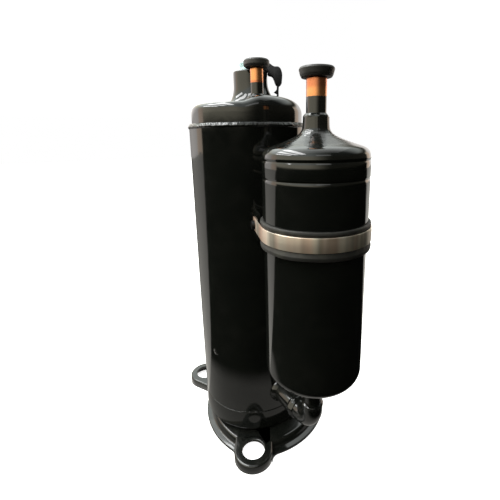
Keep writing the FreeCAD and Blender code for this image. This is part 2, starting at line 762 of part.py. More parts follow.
def suction_inlet():
    stub_pipe("suction_inlet_pipe", "inlet_radius", "inlet_wall", "inlet_shoulder",
              "inlet_bottom", "inlet_top", side="acc_distance")
    keep("inlet_braze", turned([
        ("inlet_radius - swage_step", "collar_top"),
        ("collar_radius", "collar_top"),
        ("inlet_radius + 0.7", "inlet_shoulder - 0.6"),
        ("inlet_radius + 0.1", "inlet_shoulder"),
        ("inlet_radius", "inlet_shoulder"),
        ("inlet_radius - swage_step", "inlet_shoulder - 1.2"),
    ], side="acc_distance"))
    shank = "inlet_radius - inlet_wall - plug_slip"
    head_foot = "inlet_top + plug_gap"
    plug = turned([
        (0, "inlet_top - plug_shank"),
        (shank, "inlet_top - plug_shank"),
        (shank, head_foot),
        ("inlet_plug_radius - 3", head_foot),
        ("inlet_plug_radius - 0.6", f"{head_foot} + 2"),
        ("inlet_plug_radius", f"{head_foot} + 4"),
        ("inlet_plug_radius", f"{head_foot} + plug_head"),
        (0, f"{head_foot} + plug_head"),
    ], side="acc_distance")
    rounded(plug, 1.2, ("inlet_plug_radius", f"{head_foot} + plug_head"))
    keep("suction_plug", plug)


# ---------------------------------------------------------------- accumulator


def groove(height, outer):
    """Corners of a shallow rolled groove, from its top to its foot."""
    return [
        (outer, f"{height} + 2"),
        (f"{outer} - 0.8", f"{height} + 0.8"),
        (f"{outer} - 0.8", f"{height} - 0.8"),
        (outer, f"{height} - 2"),
    ]


def accumulator_cups():
    outer = "acc_upper_radius"
    inner = "acc_upper_radius - acc_wall"
    hole = "inlet_radius - swage_step"
    body = turned([
        (hole, "collar_top"),
        ("collar_radius", "collar_top"),
        ("collar_radius + 0.3", "collar_bottom"),
        ("collar_radius + 2", "collar_bottom - 4"),
        (23.6, 323.5),
        (36, 319.6),
        (40, 317.6),
        (42.4, 314.4),
        (outer, "groove_high + 2.6"),
        *groove("groove_high", outer),
        *groove("groove_low", outer),
        (outer, "acc_joint"),
        (inner, "acc_joint"),
        (inner, "groove_high + 0.9"),
        (40.4, 313),
        (38.3, 315.5),
        (35.2, 317.3),
        (23.2, 321.2),
        ("collar_radius", "collar_bottom - 7"),
        (hole, "collar_bottom - 6"),
    ], side="acc_distance")
    keep("accumulator_upper_cup", body)
    outer = "acc_radius"
    inner = "acc_radius - acc_wall"
    body = turned([
        ("inlet_radius", "acc_bottom"),
        (outer, "acc_bottom"),
        (outer, "acc_joint - 0.5"),
        ("acc_upper_radius - acc_wall", "acc_joint - 0.5"),
        ("acc_upper_radius - acc_wall", "acc_joint + 12"),
        ("acc_upper_radius - 2 * acc_wall", "acc_joint + 12"),
        ("acc_upper_radius - 2 * acc_wall", "acc_joint - 2"),
        (inner, "acc_joint - 5"),
        (inner, "acc_bottom + acc_wall"),
        ("inlet_radius", "acc_bottom + acc_wall"),
    ], side="acc_distance")
    rounded(body, "acc_fillet", (outer, "acc_bottom"))
    rounded(body, "acc_fillet - acc_wall", (inner, "acc_bottom + acc_wall"))
    keep("accumulator_lower_cup", body)


def accumulator_insides():
    keep("standpipe", tube("inlet_radius", "inlet_radius - inlet_wall",
                           "stand_top - outlet_bottom", side="acc_distance", lift="outlet_bottom"))
    reach = "acc_upper_radius - acc_wall"
    disc = new_body()
    pad(disc, lambda sketch: circle(sketch, reach), 1.5, bottom="baffle_height")
    hole = disc.newObject("PartDesign::Pocket", "pocket")
    hole.Profile = circle(sketch_on(disc, "XY_Plane"), 5, across=28)
    hole.Type = "ThroughAll"
    hole.Midplane = True
    doc.recompute()
    repeat(disc, hole, 6)
    place(disc, side="acc_distance")
    keep("accumulator_baffle", disc)
    keep("accumulator_screen", turned([
        (reach, "baffle_height + 2"),
        (reach, "baffle_height + 3.5"),
        (f"{reach} - 2", "baffle_height + 3.5"),
        (14, "baffle_height + 12"),
        (0, "baffle_height + 12"),
        (0, "baffle_height + 11"),
        (13.5, "baffle_height + 11"),
        (f"{reach} - 2.6", "baffle_height + 2"),
    ], side="acc_distance"))


# ---------------------------------------------------------------- band and bracket


def band_and_bracket():
    """The band's two flat ends are screwed to the wings of a saddle that is welded to the tube."""
    pad_outer = "acc_upper_radius + pad_thick"
    keep("band_pad", turned(ring_outline("acc_upper_radius", pad_outer, "pad_bottom", "pad_top"),
                            side="acc_distance"))
    loop = cut(
        sector(f"{pad_outer} + band_thick", "band_top - band_bottom", "-90 - wing_angle",
               "180 + 2 * wing_angle", lift="band_bottom"),
        cylinder(pad_outer, "band_top - band_bottom", lift="band_bottom"),
    )
    loop = place(group(loop), side="acc_distance")
    keep("band_clamp", cut(fuse(loop, *band_tabs()), *band_screw_holes()))
    saddle = sector("shell_radius + bracket_thick", "bracket_top - bracket_bottom",
                    "-bracket_spread", "2 * bracket_spread", lift="bracket_bottom")
    shell_space = cylinder("shell_radius", 60, lift="bracket_bottom - 10")
    bracket = cut(fuse(saddle, *bracket_wings()), shell_space, *band_screw_holes())
    keep("accumulator_bracket", bracket)
    band_screws()


def beside_band(thing, mirror):
    """Turns a piece about the accumulator's axis until its X is along one of the band's ends."""
    return place(group(thing), side="acc_distance", heading=f"{mirror} * wing_angle")


def across_band(mirror, inward, thickness):
    """Lowest Y of a sheet that starts an inward distance below the band's inner face."""
    inner = f"acc_upper_radius + pad_thick - ({inward})"
    return inner if mirror > 0 else f"-({inner}) - ({thickness})"


def bracket_wings():
    wings = []
    for mirror in (-1, 1):
        wing = box(32, "bracket_thick", "bracket_top - bracket_bottom", side="-52",
                   back=across_band(mirror, "bracket_thick", "bracket_thick"), lift="bracket_bottom")
        wings.append(beside_band(wing, mirror))
    return wings


def band_tabs():
    tabs = []
    for mirror in (-1, 1):
        tab = box(38, "band_thick", "band_top - band_bottom", side="-38",
                  back=across_band(mirror, 0, "band_thick"), lift="band_bottom")
        tabs.append(beside_band(tab, mirror))
    return tabs


def band_rod(mirror, radius, inward, length):
    """A rod through the band's end and the wing, towards the outside."""
    middle = "(band_bottom + band_top) / 2"
    rod = cylinder(radius, length, side="-screw_reach", back=across_band(mirror, inward, length),
                   lift=middle, along="y")
    return rod


def band_screw_holes():
    return [beside_band(band_rod(mirror, 2.05, 10, 20), mirror) for mirror in (-1, 1)]


def band_screws():
    """A screw and a nut through each of the band's ends."""
    pieces = []
    for mirror in (-1, 1):
        head = band_rod(mirror, 4, "-band_thick", 2.8)
        shank = band_rod(mirror, 2, "bracket_thick + 3.6", "bracket_thick + 3.6 + band_thick + 1")
        nut = doc.addObject("Part::Prism", "nut")
        nut.Polygon = 6
        bind(nut, Circumradius=4, Height=2.6)
        place(nut, side="-screw_reach", back=across_band(mirror, "bracket_thick + 2.6", 2.6),
              lift="(band_bottom + band_top) / 2", along="y")
        pieces.append(beside_band(fuse(head, nut, shank), mirror))
    keep("band_screws", group(*pieces))


# ---------------------------------------------------------------- suction elbow


def bent_pipe(radius):
    """The elbow's run: a level socket, a quarter turn and an upright socket."""
    level = cylinder(radius, "elbow_socket", side="acc_distance - elbow_bend - elbow_socket",
                     lift="suction_height", along="x")
    bend = doc.addObject("Part::Torus", "bend")
    bind(bend, Radius1="elbow_bend", Radius2=radius)
    bend.Angle3 = 90
    bend.Placement.Rotation = FreeCAD.Rotation(FreeCAD.Vector(1, 0, 0), 90)
    quarter = FreeCAD.Rotation(FreeCAD.Vector(0, 0, 1), -90)
    bend.Placement.Rotation = bend.Placement.Rotation.multiply(quarter)
    place(bend, side="acc_distance - elbow_bend", lift="suction_height + elbow_bend")
    rise = cylinder(radius, "elbow_socket", side="acc_distance", lift="suction_height + elbow_bend")
    return fuse(level, bend, rise)


def suction_elbow():
    """The elbow, the level tube from the pump that it slips over, and the tube's sleeve."""
    keep("suction_elbow", cut(bent_pipe("elbow_radius"), bent_pipe("inlet_radius")))
    tube_end = "acc_distance - elbow_bend - 1"
    keep("suction_tube", tube("inlet_radius", "inlet_radius - inlet_wall", f"{tube_end} - suction_end",
                              side="suction_end", lift="suction_height", along="x"))
    keep("suction_sleeve", tube("sleeve_radius", "inlet_radius", "sleeve_end - 55.5", side=55.5,
                                lift="suction_height", along="x"))


# ---------------------------------------------------------------- base plate


def at_heading(heading, radius, height=0):
    """The point at a heading and a distance from the shell's axis."""
    angle = math.radians(heading)
    return FreeCAD.Vector(radius * math.cos(angle), radius * math.sin(angle), height)


def disc(centre, radius, height):
    return Part.makeCylinder(radius, height, centre)


def side_circles(inset):
    """Centre and radius of the arc after each ear: the wide apron, the rear and the front side."""
    rear = at_heading(value("ear_heading") + 180, value("plate_core - side_bow"))
    front = FreeCAD.Vector(value("front_bow_side"), value("front_bow_back"), 0)
    return [
        (FreeCAD.Vector(), value("apron_radius") - inset),
        (rear, value("side_bow") - inset),
        (front, value("front_bow") - inset),
    ]


def ear_blend(heading, sign, circle_, inset):
    """Ends and middle of the inward arc between an ear's straight side and a circle."""
    centre, radius = circle_
    along = at_heading(heading, 1)
    across = at_heading(heading + 90 * sign, 1)
    width = value("ear_radius") - inset
    size = value("ear_blend") + inset
    off = width + size - centre.dot(across)
    spot = along * (centre.dot(along) + math.sqrt((radius + size)**2 - off**2))
    spot = spot + across * (width + size)
    on_line = spot - across * size
    on_circle = centre + (spot - centre) * (radius / (radius + size))
    lean = ((on_line - spot) + (on_circle - spot)).normalize()
    return on_line, spot + lean * size, on_circle


def skirt_outline(inset):
    """The base plate's outline, drawn in by an inset."""
    circles = side_circles(inset)
    width = value("ear_radius") - inset
    edges = []
    for index in range(EARS):
        heading = value("ear_heading") + 120 * index
        tip = at_heading(heading, value("ear_circle"))
        side = at_heading(heading + 90, width)
        before = ear_blend(heading, -1, circles[index - 1], inset)
        after = ear_blend(heading, 1, circles[index], inset)
        following = ear_blend(heading + 120, -1, circles[index], inset)
        centre, radius = circles[index]
        lean = ((after[2] - centre) + (following[2] - centre)).normalize()
        edges += [
            Part.Arc(before[2], before[1], before[0]).toShape(),
            Part.makeLine(before[0], tip - side),
            Part.Arc(tip - side, tip + at_heading(heading, width), tip + side).toShape(),
            Part.makeLine(tip + side, after[0]),
            Part.Arc(after[0], after[1], after[2]).toShape(),
            Part.Arc(after[2], centre + lean * radius, following[2]).toShape(),
        ]
    return Part.Face(Part.Wire(edges))


def raised(inset, height):
    """The outline drawn in by an inset, at a height."""
    wire = skirt_outline(inset).OuterWire
    wire.translate(FreeCAD.Vector(0, 0, height))
    return wire


def platform(inset, bottom, top):
    """The raised middle, whose wall leans inwards as it rises from the flange."""
    foot = inset + value("flange_width")
    return Part.makeLoft([raised(foot, bottom), raised(foot + value("wall_lean"), top)], True, True)


def ear_tabs(inset, bottom, top):
    """Three level tabs with round ends, which run out from under the shell."""
    half = value("ear_radius") - inset
    reach = value("ear_circle")
    root = value("shell_radius") - 8
    tabs = []
    for index in range(EARS):
        heading = value("ear_heading") + 120 * index
        strip = Part.makeBox(reach - root, 2 * half, top - bottom, FreeCAD.Vector(root, -half, bottom))
        strip.rotate(FreeCAD.Vector(), UP, heading)
        tabs += [strip, disc(at_heading(heading, reach, bottom), half, top - bottom)]
    return tabs


def base_plate():
    """A pressed sheet: a flange, a raised level top and three drilled tabs as ears."""
    wall = value("plate_wall")
    top = value("platform_top")
    flange = skirt_outline(0).extrude(FreeCAD.Vector(0, 0, wall))
    outside = flange.fuse([platform(0, 0, top), *ear_tabs(0, 0, top)])
    inside = platform(wall, -1, top - wall)
    holes = [disc(at_heading(value("ear_heading") + 120 * index, value("ear_circle"), -1),
                  value("ear_hole"), top + 2) for index in range(EARS)]
    plate = outside.cut([inside, *ear_tabs(wall, -1, top - wall), *holes])
    keep("base_plate", made(plate.removeSplitter()))


# ---------------------------------------------------------------- pump


def at_bolts(radius, bottom, top):
    """Six rods on the bolt circle, clear of the suction port and the vane."""
    rods = []
    for index in range(6):
        angle = math.radians(60 + 48 * index)
        foot = FreeCAD.Vector(value("bolt_circle") * math.cos(angle),
                              value("bolt_circle") * math.sin(angle), value(bottom))
        rods.append(Part.makeCylinder(value(radius), value(f"{top} - ({bottom})"), foot))
    return Part.makeCompound(rods)


def drilled(label, thing, tools):
    """A finished sub-part made by taking Part solids out of a parametric one."""
    holder = doc.addObject("Part::Feature", "drills")
    holder.Shape = Part.makeCompound(tools)
    result = cut(thing, holder)
    keep(label, result)


def reed_spot(side, back):
    """A point in the reed's frame: side is away from the shaft, back is along the reed."""
    angle = math.radians(value("port_heading") + 30)
    return FreeCAD.Vector(side * math.cos(angle) - back * math.sin(angle),
                          side * math.sin(angle) + back * math.cos(angle), 0)


def reed_middle():
    """Distance from the shaft's axis to the reed's middle line."""
    return value("port_circle") * math.cos(math.radians(30))


def port_back():
    """Where the port lies along the reed."""
    return -value("port_circle") * math.sin(math.radians(30))


REED_ROOT = 14.5
RIVET_BACK = 16.6


def cylinder_block():
    ring = tube("block_radius", "bore_radius", "block_top - block_bottom", lift="block_bottom")
    port = cylinder("inlet_radius - inlet_wall", "block_radius", lift="suction_height", along="x")
    seat = cylinder("inlet_radius + run_gap", "block_radius", side="suction_end",
                    lift="suction_height", along="x")
    slot = box("vane_length + 4", "vane_thick + run_gap", "block_top - block_bottom",
               side="bore_radius - 1", back="-(vane_thick + run_gap) / 2", lift="block_bottom")
    pocket = cylinder(4.2, 12, side="block_radius - 11", lift="suction_height", along="x")
    slots = place(fuse(slot, pocket), heading="vane_heading")
    block = cut(ring, port, seat, slots)
    drilled("cylinder_block", block, [at_bolts("bolt_radius + 0.1", "block_bottom", "block_top")])


def vane():
    height = "block_top - block_bottom - 2 * run_gap"
    foot = "block_bottom + run_gap"
    nose = "bore_radius + run_gap"
    blade = box("vane_length - vane_thick / 2", "vane_thick", height, side=f"{nose} + vane_thick / 2",
                back="-vane_thick / 2", lift=foot)
    tip = cylinder("vane_thick / 2", height, side=f"{nose} + vane_thick / 2", lift=foot)
    keep("vane", place(fuse(blade, tip), heading="vane_heading"))


def vane_spring():
    """A helix between the vane's back and the tube's wall."""
    start = value("bore_radius + run_gap + vane_length") + 0.75
    length = value("shell_radius - shell_wall") - start - 0.6
    wire = 0.35
    path = Part.makeHelix(length / 5, length, 3.2)
    ring = Part.Wire(Part.makeCircle(wire, FreeCAD.Vector(3.2, 0, 0), FreeCAD.Vector(0, 1, 0)))
    coil = Part.Wire(path).makePipeShell([ring], True, True)
    coil.rotate(FreeCAD.Vector(), FreeCAD.Vector(0, 1, 0), 90)
    coil.translate(FreeCAD.Vector(start, 0, value("suction_height")))
    keep("vane_spring", made(Part.makeCompound([coil]), heading="vane_heading"))


def main_bearing():
    bore = "journal_radius + journal_gap"
    rim = "shell_radius - shell_wall"
    body = turned([
        (bore, "block_top"),
        (rim, "block_top"),
        (rim, "ring_top"),
        (f"{rim} - 4", "ring_top"),
        (f"{rim} - 5", "flange_top"),
        ("hub_radius", "flange_top"),
        ("hub_radius", "hub_top"),
        (bore, "hub_top"),
    ])
    flange = value("block_top")
    port_spot = reed_spot(reed_middle(), port_back())
    rivet_spot = reed_spot(reed_middle(), RIVET_BACK)
    up = FreeCAD.Vector(0, 0, flange)
    drills = [
        at_bolts("bolt_radius + 0.1", "block_top", "flange_top"),
        Part.makeCylinder(value("port_radius"), 10, port_spot + up),
        Part.makeCylinder(1.55, 10, rivet_spot + up),
    ]
    for index in range(8):
        angle = math.radians(22.5 + 45 * index)
        spot = FreeCAD.Vector(48.5 * math.cos(angle), 48.5 * math.sin(angle), flange)
        drills.append(Part.makeCylinder(2.2, 10, spot))
    drilled("main_bearing", body, drills)


def sub_bearing():
    bore = "journal_radius + journal_gap"
    body = turned([
        (bore, "sub_bottom"),
        ("hub_radius", "sub_bottom"),
        ("hub_radius + 1", "sub_flange_bottom"),
        ("sub_radius", "sub_flange_bottom"),
        ("sub_radius", "block_bottom"),
        (bore, "block_bottom"),
    ])
    drilled("sub_bearing", body, [at_bolts("bolt_radius", "sub_flange_bottom", "block_bottom")])


def muffler():
    sheet_top = "flange_top + muffler_wall"
    body = turned([
        ("muffler_radius - muffler_wall", "flange_top"),
        ("sub_radius", "flange_top"),
        ("sub_radius", sheet_top),
        ("muffler_radius", sheet_top),
        ("muffler_radius", "muffler_top"),
        ("hub_radius + 0.3", "muffler_top"),
        ("hub_radius + 0.3", "muffler_top - muffler_wall"),
        ("muffler_radius - muffler_wall", "muffler_top - muffler_wall"),
    ])
    drills = [at_bolts("bolt_radius + 0.1", "flange_top", sheet_top)]
    for index in range(4):
        angle = math.radians(45 + 90 * index)
        spot = FreeCAD.Vector(24.5 * math.cos(angle), 24.5 * math.sin(angle),
                              value("muffler_top") - 4)
        drills.append(Part.makeCylinder(4, 8, spot))
    drilled("discharge_muffler", body, drills)


def pump_bolts():
    shanks = at_bolts("bolt_radius - 0.05", "sub_flange_bottom + 1", "flange_top + muffler_wall")
    heads = at_bolts(5, "flange_top + muffler_wall", "flange_top + muffler_wall + 5")
    sockets = at_bolts(2.5, "flange_top + muffler_wall + 2", "flange_top + muffler_wall + 5")
    pairs = zip(shanks.Solids, heads.Solids, sockets.Solids)
    bolts = [shank.fuse(head).cut(socket).removeSplitter() for shank, head, socket in pairs]
    keep("pump_bolts", made(Part.makeCompound(bolts)))


def reed_valve():
    """The reed, the sloping retainer over it, and the rivet that holds the retainer."""
    seat = value("flange_top")
    width = value("reed_width")
    thick = value("reed_thick")
    middle = reed_middle()
    gap = value("run_gap")
    blade = Part.makeBox(width, REED_ROOT - port_back(), thick,
                         FreeCAD.Vector(middle - width / 2, port_back(), seat + gap))
    disc = Part.makeCylinder(value("port_radius") + 1, thick,
                             FreeCAD.Vector(middle, port_back(), seat + gap))
    keep("valve_reed", made(blade.fuse(disc).removeSplitter(), heading="port_heading + 30"))
    slope = math.tan(math.radians(value("retainer_slope")))
    clear = 3 * gap + thick
    reach = REED_ROOT - port_back() + 3
    outline = [
        FreeCAD.Vector(0, REED_ROOT + 4.2, seat),
        FreeCAD.Vector(0, REED_ROOT + 0.3, seat),
        FreeCAD.Vector(0, REED_ROOT + 0.3, seat + clear),
        FreeCAD.Vector(0, REED_ROOT - reach, seat + clear + reach * slope),
        FreeCAD.Vector(0, REED_ROOT - reach, seat + clear + reach * slope + 2),
        FreeCAD.Vector(0, REED_ROOT + 0.3, seat + clear + 2),
        FreeCAD.Vector(0, REED_ROOT + 4.2, seat + clear + 2),
    ]
    stop = Part.Face(Part.makePolygon([*outline, outline[0]])).extrude(FreeCAD.Vector(width, 0, 0))
    stop.translate(FreeCAD.Vector(middle - width / 2, 0, 0))
    top = seat + clear + 2
    rivet_foot = FreeCAD.Vector(middle, RIVET_BACK, seat - 8)
    stop = stop.cut(Part.makeCylinder(1.55, 20, rivet_foot))
    keep("reed_retainer", made(stop, heading="port_heading + 30"))
    shank = Part.makeCylinder(1.5, top - seat + 8, rivet_foot)
    head = Part.makeCylinder(2.6, 1.4, FreeCAD.Vector(middle, RIVET_BACK, top))
    rivet = shank.fuse(head).removeSplitter()
    keep("retainer_rivet", made(rivet, heading="port_heading + 30"))


# ---------------------------------------------------------------- crankshaft and roller


def crank_side():
    """The eccentric's heading."""
    return "vane_heading + eccentric_lead"


def crankshaft():
    journal = cylinder("journal_radius", "shaft_top - shaft_bottom", lift="shaft_bottom")
    lobe = cylinder("roller_inside - run_gap", "block_top - block_bottom - 2", side="throw",
                    lift="block_bottom + 1")
    lobe = place(group(lobe), heading=crank_side())
    gallery = cylinder(3, 110, lift="shaft_bottom - 1")
    keep("crankshaft", cut(fuse(journal, lobe), gallery))
    keep("oil_paddle", box(5.6, 0.8, 60, side=-2.8, back=-0.4, lift="shaft_bottom + 1"))


def roller():
    ring = tube("roller_radius", "roller_inside", "block_top - block_bottom - 2 * run_gap",
                side="throw", lift="block_bottom + run_gap")
    keep("roller", place(ring, heading=crank_side()))


# ---------------------------------------------------------------- motor


def slot_blocks(shrink, bottom, top):
    """A block in each stator slot."""
    inner = value("slot_inner") + shrink
    depth = value("slot_outer - slot_inner") - 2 * shrink
    width = value("slot_width") - 2 * shrink
    blocks = []
    for index in range(int(value("slot_count"))):
        block = Part.makeBox(depth, width, value(f"{top} - ({bottom})"),
                             FreeCAD.Vector(inner, -width / 2, value(bottom)))
        block.rotate(FreeCAD.Vector(), UP, index * 360 / value("slot_count"))
        blocks.append(block)
    return blocks


def stator_core():
    body = new_body()

    def ring(sketch):
        circle(sketch, "shell_radius - shell_wall")
        circle(sketch, "stator_bore")

    pad(body, ring, "core_top - core_bottom", bottom="core_bottom")
    slot = body.newObject("PartDesign::Pocket", "slot")
    slot.Profile = polygon(sketch_on(body, "XY_Plane"), [
        ("slot_inner", "-slot_width / 2"),
        ("slot_outer", "-slot_width / 2"),
        ("slot_outer", "slot_width / 2"),
        ("slot_inner", "slot_width / 2"),
    ])
    slot.Type = "ThroughAll"
    slot.Midplane = True
    doc.recompute()
    repeat(body, slot, "slot_count")
    notch = body.newObject("PartDesign::Pocket", "notch")
    rim = "shell_radius - shell_wall"
    notch.Profile = polygon(sketch_on(body, "XY_Plane"), [
        (f"{rim} - 3", -8),
        (f"{rim} + 3", -8),
        (f"{rim} + 3", 8),
        (f"{rim} - 3", 8),
    ])
    notch.Type = "ThroughAll"
    notch.Midplane = True
    doc.recompute()
    repeat(body, notch, 6)
    keep("stator_core", body)


def windings_and_liners():
    inner = "slot_inner + liner_wall"
    ring_inner = "slot_inner - 0.4"
    ring_outer = "slot_outer + 1"
    body = new_body()
    revolve(body, ring_outline(ring_inner, ring_outer, "core_bottom - coil_reach",
                               "core_bottom - coil_gap"))
    strand = pad(body, lambda sketch: polygon(sketch, [
        (inner, "liner_wall - slot_width / 2"),
        ("slot_outer - liner_wall", "liner_wall - slot_width / 2"),
        ("slot_outer - liner_wall", "slot_width / 2 - liner_wall"),
        (inner, "slot_width / 2 - liner_wall"),
    ]), "core_top - core_bottom + 2 * coil_gap", bottom="core_bottom - coil_gap")
    doc.recompute()
    repeat(body, strand, "slot_count")
    doc.recompute()
    revolve(body, ring_outline(ring_inner, ring_outer, "core_top + coil_gap",
                               "core_top + coil_reach"))
    rims = [(ring, height) for ring in (ring_inner, ring_outer)
            for height in ("core_top + coil_reach", "core_bottom - coil_reach")]
    rounded(body, 4, *rims)
    keep("stator_windings", body)
    bottom, top = "core_bottom - 3", "core_top + 3"
    shrink = value("liner_wall")
    liners = [whole.cut(strand_space) for whole, strand_space in
              zip(slot_blocks(0, bottom, top), slot_blocks(shrink, bottom, top))]
    keep("slot_liners", made(Part.makeCompound(liners)))


def at_rivets(radius, bottom, top, indexes=(0, 1, 2, 3)):
    """Rods on the rotor's rivet circle; index 0 is 45 degrees past the eccentric."""
    rods = []
    for index in indexes:
        angle = math.radians(value(crank_side()) + 45 + 90 * index)
        foot = FreeCAD.Vector(value("rivet_circle") * math.cos(angle),
                              value("rivet_circle") * math.sin(angle), value(bottom))
        rods.append(Part.makeCylinder(radius, value(f"{top} - ({bottom})"), foot))
    return Part.makeCompound(rods)


def rotor():
    body = new_body()

    def lamination(sketch):
        circle(sketch, "rotor_radius")
        circle(sketch, "journal_radius")

    pad(body, lamination, "core_top - core_bottom", bottom="core_bottom")
    bar_hole = body.newObject("PartDesign::Pocket", "bar_hole")
    bar_hole.Profile = circle(sketch_on(body, "XY_Plane"), "bar_radius + 0.02", across="bar_circle")
    bar_hole.Type = "ThroughAll"
    bar_hole.Midplane = True
    doc.recompute()
    repeat(body, bar_hole, "bar_count")
    rivet_holes = at_rivets(value("rivet_radius") + 0.02, "core_bottom", "core_top")
    drilled("rotor_core", body, [rivet_holes])
    rotor_cage()


def rotor_cage():
    """Cast bars with an end ring at each end."""
    inner = "bar_circle - bar_radius - 2"
    outer = "rotor_radius - 0.5"
    body = new_body()
    revolve(body, ring_outline(inner, outer, "core_bottom - ring_height", "core_bottom"))
    bar = pad(body, lambda sketch: circle(sketch, "bar_radius", across="bar_circle"),
              "core_top - core_bottom", bottom="core_bottom")
    doc.recompute()
    repeat(body, bar, "bar_count")
    doc.recompute()
    revolve(body, ring_outline(inner, outer, "core_top", "core_top + ring_height"))
    keep("rotor_cage", body)


def rotor_rivets():
    low = "core_bottom - ring_height - weight_height"
    high = "core_top + ring_height + weight_height + 1.5"
    shanks = at_rivets(value("rivet_radius"), low, high)
    heads = at_rivets(value("rivet_radius") + 1.4, high, f"{high} + 1.2")
    rivets = [shank.fuse(head).removeSplitter() for shank, head in zip(shanks.Solids, heads.Solids)]
    keep("rotor_rivets", made(Part.makeCompound(rivets)))


def balance_weights():
    """Half rings: the upper one on the eccentric's side, the lower one opposite."""
    hole = value("rivet_radius") + 0.02
    for label, bottom, turn, rivets in (
        ("upper_balance_weight", "core_top + ring_height", "-90", (0, 3)),
        ("lower_balance_weight", "core_bottom - ring_height - weight_height", "90", (1, 2)),
    ):
        half = sector("weight_radius", "weight_height", f"{crank_side()} + ({turn})", 180, lift=bottom)
        inside = cylinder("journal_radius + 2", "weight_height", lift=bottom)
        holes = at_rivets(hole, bottom, f"{bottom} + weight_height", rivets)
        drilled(label, cut(half, inside), [holes])
    plate_bottom = "core_top + ring_height + weight_height"
    disc = cylinder("weight_radius - 1", 1.5, lift=plate_bottom)
    drilled("oil_separator", disc, [at_rivets(hole, plate_bottom, f"{plate_bottom} + 1.5")])


def lead_wires():
    """Three insulated leads from the end turns to the inner side of the terminal."""
    angle = math.radians(value("step_heading"))
    side, back = value("neck_side"), value("neck_back")
    neck = FreeCAD.Vector(side * math.cos(angle) - back * math.sin(angle),
                          side * math.sin(angle) + back * math.cos(angle), 0)
    leads = []
    for index in range(3):
        heading = math.radians(value("step_heading") + 90 + 120 * index)
        offset = FreeCAD.Vector(math.cos(heading), math.sin(heading), 0)
        end = neck + offset * value("pin_circle") + UP * value("pin_bottom")
        foot_angle = math.radians(value("step_heading") + 90 + 14 * (index - 1))
        foot = FreeCAD.Vector(40 * math.cos(foot_angle), 40 * math.sin(foot_angle),
                              value("core_top + coil_reach"))
        leads.append(lead([foot, foot + UP * 22, end - UP * 22, end], 1.4))
    keep("lead_wires", made(Part.makeCompound(leads)))


def lead(points, radius):
    """A round wire along straight runs that are joined by tangent arcs."""
    edges = []
    start = points[0]
    for before, corner, after in zip(points, points[1:], points[2:]):
        arrive = (corner - before).normalize()
        leave = (after - corner).normalize()
        turn = arrive.getAngle(leave)
        reach = 9.5
        bend = reach / math.tan(turn / 2)
        first = corner - arrive * reach
        last = corner + leave * reach
        inward = (leave - arrive).normalize()
        middle = corner + inward * (bend / math.cos(turn / 2) - bend)
        edges.append(Part.makeLine(start, first))
        edges.append(Part.Arc(first, middle, last).toShape())
        start = last
    edges.append(Part.makeLine(start, points[-1]))
    path = Part.Wire(edges)
    ring = Part.Wire(Part.makeCircle(radius, points[0], points[1] - points[0]))
    return path.makePipeShell([ring], True, True)


# ---------------------------------------------------------------- build, check, export


def check_document():
    """Stops if any object failed or any sub-part is not a sound solid."""
    for thing in doc.Objects:
        if {"Invalid", "Error"} & set(thing.State):
            raise RuntimeError(f"{thing.Label} ({thing.TypeId}) failed: {thing.State}")
    for node in nodes:
        shape = node.Shape
        if shape.isNull() or not shape.isValid() or not shape.Solids:
            raise RuntimeError(f"{node.Label} has no valid shape")


def export():
    os.makedirs("parts", exist_ok=True)
    for node in nodes:
        node.Shape.exportStep(f"parts/{node.Label}.step")


def build():
    fill_sheet()
    roof = top_cap()
    terminal_strap(roof)
    discharge_stub(roof)
    for make in (
        shell_body, plug_welds, seam_welds, bottom_cap, terminal, terminal_boot,
        suction_inlet, accumulator_cups, accumulator_insides,
        band_and_bracket, suction_elbow, base_plate, cylinder_block, vane, vane_spring,
        main_bearing, sub_bearing, muffler, pump_bolts, reed_valve, crankshaft, roller,
        stator_core, windings_and_liners, rotor, rotor_rivets, balance_weights, lead_wires,
    ):
        make()
    doc.recompute()
    check_document()
    export()
    for node in nodes:
        print(f"{node.Label}: {len(node.Shape.Solids)} solids, {node.Shape.Volume / 1000:.2f} cm3")


build()
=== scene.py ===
"""Looks of a refrigeration rotary compressor with a side accumulator.

Shapes are written in millimetres in the part's own frame: the origin is on the shell's axis in the
plane of the feet, +Z is up and the accumulator stands towards +X. Angles are degrees, and a heading is
an angle about the shell's axis, counted from +X towards +Y.
"""

import json
import math

import bmesh
import bpy
from mathutils import Matrix, Vector, noise


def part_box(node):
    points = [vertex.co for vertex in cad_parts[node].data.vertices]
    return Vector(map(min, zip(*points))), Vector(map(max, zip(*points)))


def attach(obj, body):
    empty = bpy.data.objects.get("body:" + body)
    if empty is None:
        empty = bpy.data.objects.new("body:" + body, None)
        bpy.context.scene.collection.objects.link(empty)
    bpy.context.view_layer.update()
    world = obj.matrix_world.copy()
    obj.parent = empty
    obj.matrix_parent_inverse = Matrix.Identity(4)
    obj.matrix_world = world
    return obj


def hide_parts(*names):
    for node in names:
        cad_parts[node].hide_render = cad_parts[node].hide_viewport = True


MM = 0.001
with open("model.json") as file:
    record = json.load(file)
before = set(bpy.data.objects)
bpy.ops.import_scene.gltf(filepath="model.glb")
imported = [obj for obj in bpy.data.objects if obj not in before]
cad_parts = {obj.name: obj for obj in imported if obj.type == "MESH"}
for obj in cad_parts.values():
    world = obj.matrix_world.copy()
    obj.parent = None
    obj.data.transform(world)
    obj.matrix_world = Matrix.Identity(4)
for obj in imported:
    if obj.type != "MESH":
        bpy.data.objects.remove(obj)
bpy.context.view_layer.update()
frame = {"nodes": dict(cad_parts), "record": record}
NODES = frame["nodes"]


def node_box(node):
    """Lowest and highest corner of a CAD node, in millimetres."""
    low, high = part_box(node)
    return low / MM, high / MM


def node_axis(node):
    """The vertical middle line of a round CAD node: x and y in millimetres."""
    low, high = node_box(node)
    return ((low.x + high.x) / 2, (low.y + high.y) / 2)


